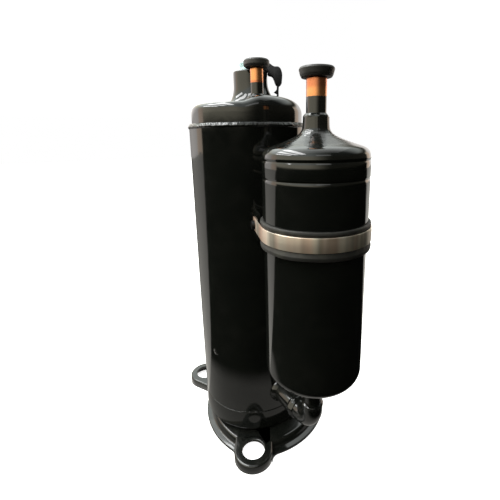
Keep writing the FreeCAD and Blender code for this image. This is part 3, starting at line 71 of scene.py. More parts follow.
# ---------------------------------------------------------------- driving sizes

SHELL_RADIUS = 60.0
WALL = 3.0
SEAM_TOP = node_box("shell_body")[1].z
SEAM_BOTTOM = node_box("shell_body")[0].z
CAP_RADIUS = SHELL_RADIUS - WALL
PLATFORM_TOP = node_box("base_plate")[1].z

PLUG_WELD_HEADINGS, PLUG_WELD_HEIGHT = (-72, 48, 168), 101.0
STEP_HEADING = 62.0
LOW_TOP, HIGH_TOP = 358.5, 364.5
STEP_START, STEP_RUN = -6.5, 20.0
CROWN_FALL = 4.0
SHOULDER, LOW_SHOULDER = 12.0, 6.5
NECK_RADIUS, NECK_TOP = 18.1, node_box("top_cap")[1].z
FLARE_OUT, FLARE_UP = 13.0, 21.0
NECK_SIDE, NECK_BACK = 4.5, 12.0
BOOT_RADIUS = 12.0

STUB_AXIS = node_axis("discharge_pipe")
STUB_RADIUS, STUB_WALL = 6.35, 0.9
STUB_TOP = node_box("discharge_pipe")[1].z
STUB_SHOULDER = node_box("discharge_braze")[1].z
STUB_PAINT_TOP = 378.5

ACC_AXIS = node_axis("accumulator_lower_cup")
ACC_RADIUS, ACC_UPPER_RADIUS, ACC_WALL = 42.7, 43.3, 2.0
ACC_BOTTOM = node_box("accumulator_lower_cup")[0].z
ACC_JOINT = node_box("accumulator_upper_cup")[0].z
COLLAR_RADIUS, COLLAR_TOP = 10.3, node_box("accumulator_upper_cup")[1].z
GROOVES = (294.7, 308.7)
INLET_RADIUS, INLET_WALL = 7.94, 1.0
INLET_TOP = node_box("suction_inlet_pipe")[1].z
INLET_SHOULDER = node_box("inlet_braze")[1].z
INLET_PAINT_TOP = 356.0
DIMPLE_HEIGHT, DIMPLE_HEADING = 351.0, -112
CONE_RIDGE_PITCH = 2.35

BAND_BOTTOM, BAND_TOP = 244.6, 256.2
PAD_BOTTOM, PAD_TOP = node_box("band_pad")[0].z, node_box("band_pad")[1].z
BAND_INNER, BAND_THICK = ACC_UPPER_RADIUS + 1.7, 1.2
WING_ANGLE, TAB_START, TAB_LENGTH = 20.0, 0.4, 38.0

ELBOW_HEIGHT, ELBOW_BEND, ELBOW_RADIUS = 56.0, 17.5, 9.7
ELBOW_LEFT, ELBOW_TOP = node_box("suction_elbow")[0].x, node_box("suction_elbow")[1].z
SLEEVE_RADIUS, SLEEVE_END = 10.5, node_box("suction_sleeve")[1].x

EAR_HEADINGS = (-31.3, 88.7, 208.7)
EAR_CIRCLE, EAR_RADIUS, EAR_HOLE, EAR_HOLLOW, EAR_BLEND = 82.3, 20.0, 11.65, 14.25, 9.0
PLATE_CORE, REAR_BOW, APRON_RADIUS = 64.0, 180.0, 84.8
FRONT_BOW, FRONT_BOW_CENTRE = 92.0, Vector((17.0, 26.0, 0))
PLATE_WALL, FLANGE_WIDTH, WALL_LEAN = 3.0, 6.5, 3.0


# ---------------------------------------------------------------- small geometry


def polar(heading, radius, height=0.0):
    angle = math.radians(heading)
    return Vector((radius * math.cos(angle), radius * math.sin(angle), height))


def arc(centre, radius, start, end, steps):
    """Points of a plane arc between two angles in degrees."""
    return [
        (centre[0] + radius * math.cos(math.radians(start + (end - start) * i / steps)),
         centre[1] + radius * math.sin(math.radians(start + (end - start) * i / steps)))
        for i in range(steps + 1)
    ]


def rounded(corners, steps=6):
    """A closed outline whose corners (across, up, radius) are rounded."""
    points = []
    for index, (x, y, radius) in enumerate(corners):
        here = Vector((x, y))
        before = Vector(corners[index - 1][:2]) - here
        after = Vector(corners[(index + 1) % len(corners)][:2]) - here
        if radius <= 0:
            points.append((x, y))
            continue
        half = before.angle(after) / 2
        reach = min(radius / math.tan(half), before.length * 0.49, after.length * 0.49)
        size = reach * math.tan(half)
        first = here + before.normalized() * reach
        last = here + after.normalized() * reach
        middle = here + (before.normalized() + after.normalized()).normalized() * (
            size / math.sin(half))
        start = first - middle
        turn = start.angle_signed(last - middle)
        for step in range(steps + 1):
            point = start.copy()
            point.rotate(Matrix.Rotation(-turn * step / steps, 2))
            points.append(tuple(middle + point))
    return points


def spline(points, spacing):
    """A smooth line through points, sampled at about the given spacing."""
    ends = [2 * Vector(points[0]) - Vector(points[1]), *map(Vector, points),
            2 * Vector(points[-1]) - Vector(points[-2])]
    result = []
    for p0, p1, p2, p3 in zip(ends, ends[1:], ends[2:], ends[3:]):
        count = max(1, round((p2 - p1).length / spacing))
        for step in range(count):
            t = step / count
            result.append(tuple(0.5 * (2 * p1 + (p2 - p0) * t + (2 * p0 - 5 * p1 + 4 * p2 - p3) * t**2
                                       + (3 * p1 - p0 - 3 * p2 + p3) * t**3)))
    result.append(tuple(points[-1]))
    return result


def wave(x, y=0.0, z=0.0, seed=0.0):
    """Smooth noise between about -1 and 1."""
    return noise.noise(Vector((x + seed * 17.3, y - seed * 9.1, z + seed * 5.7)))


def wave_round(heading, reach, height, seed):
    """The same noise, taken on a circle, so that it closes; a larger reach gives more waves."""
    spot = polar(heading, reach)
    return wave(spot.x, spot.y, height, seed)


# ---------------------------------------------------------------- pieces


def piece(name, verts, faces, node=None, body="casing", slot="black_paint", sharp=35):
    """A mesh in millimetres becomes a piece that stands for a CAD node."""
    mesh = bpy.data.meshes.new(name)
    mesh.from_pydata([Vector(v) * MM for v in verts], [], faces)
    cleaner = bmesh.new()
    cleaner.from_mesh(mesh)
    bmesh.ops.remove_doubles(cleaner, verts=cleaner.verts, dist=1e-6)
    bmesh.ops.recalc_face_normals(cleaner, faces=cleaner.faces)
    cleaner.to_mesh(mesh)
    cleaner.free()
    mesh.shade_smooth()
    mesh.set_sharp_from_angle(angle=math.radians(sharp))
    obj = bpy.data.objects.new(name, mesh)
    bpy.context.scene.collection.objects.link(obj)
    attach(obj, body)
    if node:
        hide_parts(node)
    mesh.materials.append(MATERIALS[slot])
    return obj


def rings_to_faces(rings, size, closed_rings=False):
    """Quads between neighbouring rings of the same size."""
    faces = []
    last = rings if closed_rings else rings - 1
    for ring in range(last):
        after = (ring + 1) % rings
        for index in range(size):
            other = (index + 1) % size
            faces.append((ring * size + index, ring * size + other,
                          after * size + other, after * size + index))
    return faces


def end_faces(rings, size):
    """The two faces that close a run of rings."""
    return [tuple(range(size)), tuple(range((rings - 1) * size, rings * size))]


def lathe_mesh(profile, axis=(0, 0), steps=192, move=None):
    """Turns a closed outline of (radius, height) about a vertical axis.

    move gives a small change of radius and height at a heading.
    """
    verts = []
    for step in range(steps):
        heading = 360 * step / steps
        for radius, height in profile:
            change = move(radius, height, heading) if move else (0, 0)
            spot = polar(heading, max(radius + change[0], 0), height + change[1])
            verts.append(spot + Vector((axis[0], axis[1], 0)))
    return verts, rings_to_faces(steps, len(profile), closed_rings=True)


def lathe(name, profile, axis=(0, 0), steps=192, move=None, **facts):
    verts, faces = lathe_mesh(profile, axis, steps, move)
    return piece(name, verts, faces, **facts)


def swept(name, centres, frames, section, closed=False, **facts):
    """Carries a closed section (across, up) along centres, each with its two directions."""
    verts = []
    for centre, (across, up) in zip(centres, frames):
        verts += [centre + across * a + up * b for a, b in section]
    size = len(section)
    faces = rings_to_faces(len(centres), size, closed_rings=closed)
    if not closed:
        faces += end_faces(len(centres), size)
    return piece(name, verts, faces, **facts)


# ---------------------------------------------------------------- materials

MATERIALS = {}


class NodeTree:
    """A short way to write a node tree."""

    def __init__(self, tree):
        self.tree = tree

    def add(self, kind, inputs=None, **settings):
        node = self.tree.nodes.new(kind)
        for key, setting in settings.items():
            setattr(node, key, setting)
        for key, source in (inputs or {}).items():
            self.feed(node.inputs[key], source)
        return node

    def feed(self, socket, source):
        """Links a socket, or sets a number, vector or colour."""
        if isinstance(source, bpy.types.NodeSocket):
            self.tree.links.new(source, socket)
        elif socket.type == "RGBA" and len(source) == 3:
            socket.default_value = (*source, 1.0)
        else:
            socket.default_value = source

    def ramp(self, source, low, high, low_value=0.0, high_value=1.0):
        """A smooth change of value while the source goes from low to high."""
        return self.add("ShaderNodeMapRange", {
            "Value": source, "From Min": low, "From Max": high,
            "To Min": low_value, "To Max": high_value},
            interpolation_type="SMOOTHSTEP").outputs[0]

    def math(self, operation, *sources):
        return self.add("ShaderNodeMath", dict(enumerate(sources)), operation=operation).outputs[0]

    def mix(self, factor, one, other):
        """Mixes two colours."""
        return self.add("ShaderNodeMix", {0: factor, 6: one, 7: other}, data_type="RGBA").outputs[2]

    def lean(self, way, heading):
        """How far a direction leans towards a heading."""
        return self.add("ShaderNodeVectorMath", {0: way, 1: polar(heading, 1)},
                        operation="DOT_PRODUCT").outputs["Value"]


class Nodes(NodeTree):
    """A material's node tree."""

    def __init__(self, name):
        material = bpy.data.materials.new(name)
        material.use_nodes = True
        super().__init__(material.node_tree)
        self.shader = self.tree.nodes["Principled BSDF"]
        self.place = self.add("ShaderNodeTexCoord").outputs["Object"]
        MATERIALS[name] = material

    def noise(self, scale, detail=4.0, roughness=0.55, stretch=None, distortion=0.0):
        """Noise with a scale in features per metre; stretch multiplies it along each axis."""
        vector = self.place
        if stretch:
            vector = self.add("ShaderNodeMapping", {"Vector": vector, "Scale": stretch}).outputs[0]
        return self.add("ShaderNodeTexNoise", {
            "Vector": vector, "Scale": scale, "Detail": detail, "Roughness": roughness,
            "Distortion": distortion}).outputs["Fac"]

    def height(self):
        """Height above the feet, in millimetres."""
        split = self.add("ShaderNodeSeparateXYZ", {"Vector": self.place})
        return self.math("MULTIPLY", split.outputs["Z"], 1000.0)

    def bump(self, *layers):
        """Chains bumps of (source, depth in millimetres)."""
        normal = None
        for source, depth in layers:
            inputs = {"Height": source, "Strength": 1.0, "Distance": depth * MM}
            if normal:
                inputs["Normal"] = normal
            normal = self.add("ShaderNodeBump", inputs).outputs[0]
        self.tree.links.new(normal, self.shader.inputs["Normal"])

    def link(self, **sources):
        for key, source in sources.items():
            self.tree.links.new(source, self.shader.inputs[key.replace("_", " ")])

    def set(self, values):
        for key, number in values.items():
            self.shader.inputs[key].default_value = number


def dust(tree, amount):
    """Sparse pale dust that lies mostly on upward faces."""
    normal = tree.add("ShaderNodeNewGeometry").outputs["Normal"]
    up = tree.add("ShaderNodeSeparateXYZ", {"Vector": normal}).outputs["Z"]
    lying = tree.ramp(up, 0.1, 0.95, 0.25, 1.0)
    specks = tree.ramp(tree.noise(2600, 2), 0.66, 0.74)
    film = tree.ramp(tree.noise(60, 5), 0.45, 0.75)
    spread = tree.math("ADD", tree.math("MULTIPLY", specks, 0.35), tree.math("MULTIPLY", film, 0.12))
    return tree.math("MULTIPLY", tree.math("MULTIPLY", spread, lying), amount)


def black_paint():
    """Dipped gloss black: orange peel, soft waves, thin scuffs and a little dust."""
    tree = Nodes("black_paint")
    scuffs = tree.ramp(tree.noise(180, 6, 0.7, stretch=(1, 1, 0.25), distortion=0.6), 0.62, 0.7)
    powder = dust(tree, 0.35)
    tone = tree.mix(tree.noise(25, 3), (0.0028, 0.0033, 0.0029), (0.0055, 0.0062, 0.0052))
    tree.link(Base_Color=tree.mix(powder, tone, (0.20, 0.19, 0.17)))
    base = tree.ramp(tree.noise(38, 4), 0.35, 0.7, 0.045, 0.11)
    rough = tree.math("ADD", base, tree.math("MULTIPLY", scuffs, 0.10))
    tree.link(Roughness=tree.math("ADD", rough, tree.math("MULTIPLY", powder, 0.9)))
    tree.bump((tree.noise(42, 2), 0.10), (tree.noise(420, 2), 0.006))
    tree.set({"IOR": 1.5})


def painted_copper(name, paint_top, red_from, red_to):
    """Drawn copper tube with fine turning lines and a reddened zone, dipped in black below a height."""
    tree = Nodes(name)
    height = tree.height()
    edge = tree.math("ADD", height, tree.math("MULTIPLY", tree.noise(350, 3), 0.9))
    bare = tree.ramp(edge, paint_top + 0.3, paint_top + 0.7)
    metal = tree.mix(tree.noise(45, 3), (0.72, 0.33, 0.14), (0.56, 0.23, 0.09))
    reddened = tree.math("MULTIPLY", tree.ramp(height, red_from, red_to), 0.7)
    metal = tree.mix(reddened, metal, (0.42, 0.13, 0.07))
    tree.link(Base_Color=tree.mix(bare, (0.004, 0.0045, 0.004), metal), Metallic=bare)
    grain = tree.noise(700, 3, stretch=(0.15, 0.15, 4))
    shine = tree.ramp(grain, 0.3, 0.7, 0.27, 0.35)
    tree.link(Roughness=tree.add("ShaderNodeMix", {0: bare, 2: 0.09, 3: shine}).outputs[0])
    tree.bump((grain, 0.002), (tree.math("MULTIPLY", bare, -1.0), 0.04))


def rubber(name, dark, pale, roughness, grain=0.02):
    """Moulded rubber with a fine grain and faint bloom."""
    tree = Nodes(name)
    bloom = tree.ramp(tree.noise(90, 5, 0.6), 0.42, 0.72)
    tone = tree.mix(bloom, dark, pale)
    tree.link(Base_Color=tree.mix(dust(tree, 0.5), tone, (0.24, 0.23, 0.21)))
    tree.link(Roughness=tree.ramp(tree.noise(260, 4), 0.3, 0.7, roughness - 0.07, roughness + 0.08))
    tree.bump((tree.noise(900, 3), grain), (tree.noise(120, 2), grain * 2))
    tree.set({"IOR": 1.48})


def metal(name, dark, pale, roughness, stretch=(1, 1, 1), scale=300, depth=0.01, spread=0.08):
    """Bare metal whose tone, gloss and lay vary together."""
    tree = Nodes(name)
    grain = tree.noise(scale, 4, 0.6, stretch=stretch)
    patches = tree.ramp(tree.noise(45, 4), 0.35, 0.7)
    tree.link(Base_Color=tree.mix(tree.math("MULTIPLY", tree.math("ADD", grain, patches), 0.5),
                                  dark, pale))
    tree.link(Roughness=tree.ramp(grain, 0.3, 0.7, roughness - spread, roughness + spread))
    tree.bump((grain, depth))
    tree.set({"Metallic": 1.0})
    return tree


def stainless():
    """Cold-rolled strip, brushed along its length; its upright light and dark patches are painted
    reflections, and it has warm upright streaks.
    """
    tree = metal("stainless", (0.30, 0.27, 0.22), (0.52, 0.47, 0.40), 0.44,
                 stretch=(0.06, 0.06, 9), scale=520, depth=0.006, spread=0.05)
    # Painted reflections: upright light and dark patches in the strip's colour.
    reflection_patch = tree.ramp(tree.noise(70, 2, 0.5, stretch=(1, 1, 0.02)), 0.40, 0.62)
    warm = tree.ramp(tree.noise(38, 2, 0.5, stretch=(1, 1, 0.02), distortion=0.2), 0.45, 0.60)
    tone = tree.mix(reflection_patch, (0.26, 0.24, 0.20), (0.66, 0.60, 0.50))
    tone = tree.mix(tree.math("MULTIPLY", warm, 0.75), tone, (0.62, 0.42, 0.32))
    tree.link(Base_Color=tone)
    tree.set({"Metallic": 0.8})


def plastic(name, dark, pale, roughness, **settings):
    tree = Nodes(name)
    tree.link(Base_Color=tree.mix(tree.noise(160, 4), dark, pale))
    tree.link(Roughness=tree.ramp(tree.noise(500, 3), 0.3, 0.7, roughness - 0.06, roughness + 0.08))
    tree.bump((tree.noise(700, 2), 0.01))
    tree.set(settings)


def laminations():
    """Stacked punchings: fine level lines."""
    tree = Nodes("lamination")
    split = tree.add("ShaderNodeSeparateXYZ", {"Vector": tree.place})
    lines = tree.math("SINE", tree.math("MULTIPLY", split.outputs["Z"], 2 * math.pi / (0.5 * MM)))
    tree.link(Base_Color=tree.mix(tree.noise(80, 4), (0.16, 0.16, 0.17), (0.30, 0.30, 0.31)))
    tree.link(Roughness=tree.ramp(tree.noise(200, 3), 0.3, 0.7, 0.34, 0.5))
    tree.bump((lines, 0.03))
    tree.set({"Metallic": 1.0})


def make_materials():
    black_paint()
    painted_copper("copper", INLET_PAINT_TOP, INLET_TOP - 9, INLET_TOP - 5)
    painted_copper("copper_stub", STUB_PAINT_TOP, STUB_PAINT_TOP + 3, STUB_PAINT_TOP + 1)
    rubber("plug_rubber", (0.012, 0.012, 0.011), (0.035, 0.034, 0.032), 0.52)
    rubber("strap_rubber", (0.010, 0.010, 0.013), (0.028, 0.028, 0.032), 0.60)
    rubber("pad_rubber", (0.009, 0.009, 0.008), (0.026, 0.026, 0.021), 0.58, 0.03)
    stainless()
    metal("zinc_steel", (0.020, 0.020, 0.021), (0.055, 0.055, 0.054), 0.38)
    metal("terminal_steel", (0.28, 0.28, 0.28), (0.48, 0.47, 0.46), 0.35)
    metal("inner_steel", (0.32, 0.32, 0.32), (0.55, 0.55, 0.56), 0.32)
    metal("cast_iron", (0.10, 0.10, 0.10), (0.24, 0.24, 0.24), 0.45, depth=0.03)
    metal("cage_aluminium", (0.55, 0.55, 0.56), (0.74, 0.74, 0.75), 0.38, depth=0.02)
    metal("weight_brass", (0.45, 0.34, 0.14), (0.66, 0.52, 0.24), 0.3)
    metal("winding", (0.30, 0.10, 0.04), (0.62, 0.28, 0.10), 0.30, stretch=(1, 1, 6), depth=0.05)
    laminations()
    plastic("boot_plastic", (0.42, 0.66, 0.68), (0.62, 0.82, 0.83), 0.28,
            **{"Transmission Weight": 0.45, "IOR": 1.46})
    plastic("bead_glass", (0.05, 0.16, 0.15), (0.10, 0.24, 0.22), 0.12,
            **{"Transmission Weight": 0.7, "IOR": 1.5})
    plastic("lead_plastic", (0.55, 0.53, 0.46), (0.68, 0.66, 0.58), 0.5)
    plastic("lead_insulation", (0.32, 0.05, 0.04), (0.46, 0.09, 0.07), 0.42)
    plastic("liner_film", (0.66, 0.64, 0.55), (0.80, 0.78, 0.70), 0.5)
    for sub in frame["record"]["subparts"]:
        mesh = NODES[sub["node"]].data
        mesh.materials.clear()
        mesh.materials.append(MATERIALS[sub["material_slot"]])


# ---------------------------------------------------------------- shell


def shell():
    """The tube, a hair out of round, with three plug welds dressed over its holes."""
    outer, inner = SHELL_RADIUS, SHELL_RADIUS - WALL
    heights = [SEAM_BOTTOM + (SEAM_TOP - SEAM_BOTTOM) * i / 60 for i in range(61)]
    profile = [(outer, z) for z in heights] + [(inner, SEAM_TOP), (inner, SEAM_BOTTOM)]

    def dent(radius, height, heading):
        if radius < outer:
            return 0, 0
        sway = polar(heading, 1)
        return 0.10 * wave(sway.x * 1.3, sway.y * 1.3, height / 90, 1), 0

    lathe("shell_tube", profile, steps=256, move=dent, node="shell_body")
    lump_verts, lump_faces = [], []
    for index, heading in enumerate(PLUG_WELD_HEADINGS):
        centre = polar(heading, SHELL_RADIUS - 0.4, PLUG_WELD_HEIGHT)
        verts, faces = blob(centre, heading, 4.6, 0.9, index)
        lump_faces += [tuple(v + len(lump_verts) for v in face) for face in faces]
        lump_verts += verts
    piece("plug_weld_beads", lump_verts, lump_faces, node="plug_welds", sharp=60)


def blob(centre, heading, radius, rise, seed):
    """A low uneven weld button on an upright wall."""
    out, side = polar(heading, 1), polar(heading + 90, 1)
    rings, around = 10, 40
    verts = []
    for ring in range(rings + 1):
        share = ring / rings
        for step in range(around):
            angle = 2 * math.pi * step / around
            size = radius * share * (1 + 0.13 * wave(math.cos(angle) * 1.6, math.sin(angle) * 1.6, 0, seed))
            lift = rise * (1 - share**2.4) + 0.22 * wave(size, angle * 2, share * 3, seed + 2)
            verts.append(centre + side * (size * math.cos(angle)) + Vector((0, 0, size * math.sin(angle)))
                         + out * (lift if share < 1 else -0.3))
    return verts, rings_to_faces(rings + 1, around) + [tuple(range(around))]


def top_weld():
    """An uneven filler bead between the tube's rim and the cap."""
    section = rounded([(CAP_RADIUS - 0.6, SEAM_TOP - 0.6, 0.2), (SHELL_RADIUS + 0.3, SEAM_TOP - 1.6, 0.8),
                       (SHELL_RADIUS + 1.2, SEAM_TOP + 0.4, 1.2), (SHELL_RADIUS - 0.6, SEAM_TOP + 2.9, 1.5),
                       (CAP_RADIUS - 0.4, SEAM_TOP + 3.9, 0.4)])
    run = 2 * math.pi * SHELL_RADIUS

    def lumps(radius, height, heading):
        if radius < CAP_RADIUS + 0.2:
            return 0, 0
        turn = polar(heading, 9)
        slow = wave(turn.x, turn.y, 0, 3)
        quick = wave(turn.x * 3.1, turn.y * 3.1, height / 5, 4)
        ripple = math.sin(heading / 360 * run / 1.9 * 2 * math.pi + height * 1.1 + slow * 5)
        share = min(1.0, (radius - CAP_RADIUS) / 2)
        return (share * (0.35 * slow + 0.30 * quick + 0.07 * ripple),
                share * (0.45 * slow + 0.25 * quick))

    lathe("top_weld_bead", section, steps=1080, move=lumps, node="top_seam_weld", sharp=75)


def bottom_cap():
    profile = rounded([
        (30, PLATFORM_TOP, 0), (SHELL_RADIUS, PLATFORM_TOP, 4.5),
        (SHELL_RADIUS, SEAM_BOTTOM - 0.8, 0.7), (SHELL_RADIUS - 1.6, SEAM_BOTTOM - 0.8, 0),
        (SHELL_RADIUS - 1.6, SEAM_BOTTOM + 1, 0), (CAP_RADIUS - 3, SEAM_BOTTOM + 1, 0),
        (CAP_RADIUS - 3, PLATFORM_TOP + 3, 0), (30, PLATFORM_TOP + 3, 0)])
    lathe("bottom_cap_dish", profile, steps=256, node="bottom_cap")
    groove = rounded([
        (SHELL_RADIUS - 2.6, SEAM_BOTTOM - 0.7, 0), (SHELL_RADIUS - 0.7, SEAM_BOTTOM - 0.7, 0.3),
        (SHELL_RADIUS - 0.7, SEAM_BOTTOM - 0.1, 0.3), (SHELL_RADIUS - 2.6, SEAM_BOTTOM - 0.1, 0)])

    def bead(radius, height, heading):
        """The weld fills the groove for a short stretch at the front."""
        off = abs((heading + 34 + 180) % 360 - 180)
        fill = max(0.0, 1 - off / 15)
        if radius < SHELL_RADIUS - 2:
            return 0, 0
        rise = min(1.0, fill * 2.2) * (0.9 + 0.35 * wave_round(heading, 22, 0, 5))
        return rise, (0.5 * rise if height > SEAM_BOTTOM - 0.4 else -0.5 * rise)

    lathe("bottom_weld_bead", groove, steps=720, move=bead, node="bottom_seam_weld", sharp=60)


def step_height(side):
    """Height of the top cap's roof along the step's direction: low, an S-shaped rise, then crowned."""
    share = min(1.0, max(0.0, (side - STEP_START) / STEP_RUN))
    rise = share * share * (3 - 2 * share)
    beyond = max(0.0, side - STEP_START - STEP_RUN)
    reach = CAP_RADIUS - STEP_START - STEP_RUN
    return LOW_TOP + (HIGH_TOP - LOW_TOP) * rise - CROWN_FALL * (beyond / reach)**2


def top_cap():
    """The drawn cap, followed outwards from the neck's rim to the edge inside the tube."""
    turn = Matrix.Rotation(math.radians(STEP_HEADING), 4, "Z")
    neck = Vector((NECK_SIDE, NECK_BACK))
    bottom = node_box("top_cap")[0].z
    around = 300
    inner = NECK_RADIUS - WALL
    rings = [("wall", inner, NECK_TOP - 9), ("wall", inner, NECK_TOP - 1.2)]
    rings += [("wall", NECK_RADIUS - WALL / 2 + (WALL / 2) * x, NECK_TOP - 1.5 + 1.5 * y)
              for x, y in arc((0, 0), 1, 180, 0, 10)]
    rings += [("down", share, 0) for share in (0.15, 0.3, 0.45, 0.6, 0.75, 0.88, 1.0)]
    for angle in range(10, 91, 8):
        off = FLARE_OUT * (1 - math.cos(math.radians(angle)))
        lift = FLARE_UP * (1 - math.sin(math.radians(angle)))
        rings.append(("flare", NECK_RADIUS + off, lift))
    rings += [("roof", i / 26, 0) for i in range(1, 27)]
    rings += [("shoulder", angle, 0) for angle in range(5, 91, 5)]
    rings += [("side", i / 8, 0) for i in range(1, 9)]
    verts = []
    for kind, one, other in rings:
        for step in range(around):
            angle = 2 * math.pi * step / around
            way = Vector((math.cos(angle), math.sin(angle)))
            spot, height = cap_point(kind, one, other, neck, way, bottom)
            verts.append(turn @ Vector((spot.x, spot.y, height)))
    piece("top_cap_drawn", verts, rings_to_faces(len(rings), around), node="top_cap", sharp=50)


def shoulder_at(side):
    """The cap is drawn tighter on its low side."""
    share = min(1.0, max(0.0, (side + 12) / 30))
    return LOW_SHOULDER + (SHOULDER - LOW_SHOULDER) * share * share * (3 - 2 * share)


def to_circle(neck, way, radius):
    """Distance from the neck's axis along a direction to a circle about the cap's axis."""
    along = neck.dot(way)
    return -along + math.sqrt(along**2 - neck.length_squared + radius**2)


def cap_point(kind, one, other, neck, way, bottom):
    """A point of the cap in its own frame, for one of the rings that top_cap lists."""
    if kind == "wall":
        return neck + way * one, other
    if kind == "down":
        foot = neck + way * NECK_RADIUS
        base = step_height(foot.x) + FLARE_UP
        return foot, NECK_TOP - 1.5 + (base - NECK_TOP + 1.5) * one
    if kind == "flare":
        spot = neck + way * one
        return spot, step_height(spot.x) + other
    edge = neck + way * to_circle(neck, way, CAP_RADIUS)
    shoulder = shoulder_at(edge.x)
    flat = CAP_RADIUS - shoulder
    if kind == "roof":
        near = NECK_RADIUS + FLARE_OUT
        spot = neck + way * (near + (to_circle(neck, way, flat) - near) * one)
        return spot, step_height(spot.x) + 0.05 * wave(spot.x / 14, spot.y / 14, 0, 6)
    if kind == "shoulder":
        turn = math.radians(90 - one)
        spot = neck + way * to_circle(neck, way, flat + shoulder * math.cos(turn))
        return spot, step_height(spot.x) - shoulder * (1 - math.sin(turn))
    top = step_height(edge.x) - shoulder
    return edge, top + (bottom - top) * one


# ---------------------------------------------------------------- terminal, stubs and plugs


def neck_point(side, back, height):
    """A point in the top cap's frame, in the part's frame."""
    return Matrix.Rotation(math.radians(STEP_HEADING), 3, "Z") @ Vector((side, back, height))


def terminal_boot():
    centre = neck_point(NECK_SIDE, NECK_BACK, 0)
    low, high = node_box("terminal_boot")
    top, bottom, radius = high.z, low.z, BOOT_RADIUS
    profile = rounded([(radius, bottom, 0.3), (radius - 0.2, top - 8, 1), (radius - 1, top - 5.5, 1),
                       (radius - 0.6, top, 2.0), (radius - 7, top, 1.2), (radius - 7.5, top - 1.2, 0.5),
                       (2, top - 1.2, 0), (2, top - 2.4, 0), (radius - 2.4, top - 2.6, 1),
                       (radius - 1.8, bottom, 0.3)])
    boot = lathe("terminal_boot_cup", profile, axis=centre.xy, steps=128, node="terminal_boot",
                 slot="boot_plastic")
    cutters = []
    for height, size in ((top - 3.2, 1.15), (top - 7.2, 1.35)):
        bpy.ops.mesh.primitive_cylinder_add(vertices=24, radius=size * MM, depth=12 * MM)
        cutter = bpy.context.object
        way = polar(STEP_HEADING + 180, 1)
        cutter.matrix_world = (Matrix.Translation((centre + way * radius + Vector((0, 0, height))) * MM)
                               @ way.to_track_quat("Z", "Y").to_matrix().to_4x4())
        cutters.append(cutter)
    carve(boot, cutters)


def carve(obj, cutters, solver="EXACT"):
    """Takes cutters out of a piece for good."""
    for cutter in cutters:
        modifier = obj.modifiers.new("carve", "BOOLEAN")
        modifier.operation = "DIFFERENCE"
        modifier.solver = solver
        modifier.object = cutter
    apply_modifiers(obj)
    for cutter in cutters:
        bpy.data.objects.remove(cutter)


def apply_modifiers(obj):
    bpy.context.view_layer.update()
    graph = bpy.context.evaluated_depsgraph_get()
    mesh = bpy.data.meshes.new_from_object(obj.evaluated_get(graph))
    obj.modifiers.clear()
    obj.data = mesh


def terminal_strap():
    """A moulded strap: a ring round the boot, a thick arm that hooks over, and a barbed tail."""
    low, top = (corner.z for corner in node_box("terminal_strap"))
    outer = [(13, -0.6), (17.5, -0.1), (20.4, 0.0), (22.9, -1.7), (25.6, -3.0), (29.2, -3.1),
             (31.6, -4.6), (33.1, -7.6), (33.8, -11.0), (33.5, -16.5), (32.9, -20.4), (31.4, -22.2)]
    inner = [(28.2, -22.3), (26.6, -20.2), (25.2, -16.6), (23.6, -13.4), (21.4, -12.4), (19.4, -12.0),
             (18.4, -10.4), (18.1, -8.4), (13, -7.4)]
    outline = spline(outer, 0.8)
    tail = [(30.2, -23), (29.9, low + 8 - top), (29.9, low - top), (28.0, low - top),
            (28.0, low + 5.2 - top), (26.4, low + 5.9 - top), (24.8, low + 6.9 - top),
            (26.6, low + 8.2 - top), (28.0, low + 10.2 - top)]
    outline += tail + spline(inner, 0.8)
    half, bevel = 3.6, 0.9
    verts, size = [], len(outline)
    centre_line = outline_inset(outline, bevel)
    layers = [(-half, centre_line), (-half + 0.3, outline_inset(outline, bevel * 0.3)),
              (-half + bevel, outline), (half - bevel, outline),
              (half - 0.3, outline_inset(outline, bevel * 0.3)), (half, centre_line)]
    for back, line in layers:
        verts += [neck_point(NECK_SIDE + x, NECK_BACK + back * (0.55 if y < -22 else 1.0), top + y)
                  for x, y in line]
    faces = rings_to_faces(len(layers), size) + end_faces(len(layers), size)
    piece("terminal_strap_hook", verts, faces, node="terminal_strap", slot="strap_rubber", sharp=60)
    centre = neck_point(NECK_SIDE, NECK_BACK, 0)
    section = rounded([(12.05, top - 7.3, 0.5), (15.0, top - 7.3, 1.0), (15.0, top - 1.6, 1.2),
                       (12.05, top - 1.4, 0.8)])
    headings = [STEP_HEADING - 50 + 2.5 * step for step in range(41)]
    swept("terminal_strap_clip", [centre for _ in headings],
          [(polar(heading, 1), Vector((0, 0, 1))) for heading in headings], section,
          slot="strap_rubber")


def outline_inset(points, distance):
    """Each point of a closed outline moved towards its inside."""
    area = sum(a[0] * b[1] - b[0] * a[1] for a, b in zip(points, points[1:] + points[:1]))
    turn = 1 if area > 0 else -1
    moved = []
    for index, point in enumerate(points):
        before = Vector(points[index - 1])
        after = Vector(points[(index + 1) % len(points)])
        along = (after - before).normalized()
        moved.append(tuple(Vector(point) + Vector((-along.y, along.x)) * distance * turn))
    return moved


def pipe_profile(radius, wall, bottom, top):
    """A tube whose upper rim is rounded."""
    return rounded([(radius, bottom, 0), (radius, top, 0.35), (radius - wall, top, 0.35),
                    (radius - wall, bottom, 0)])


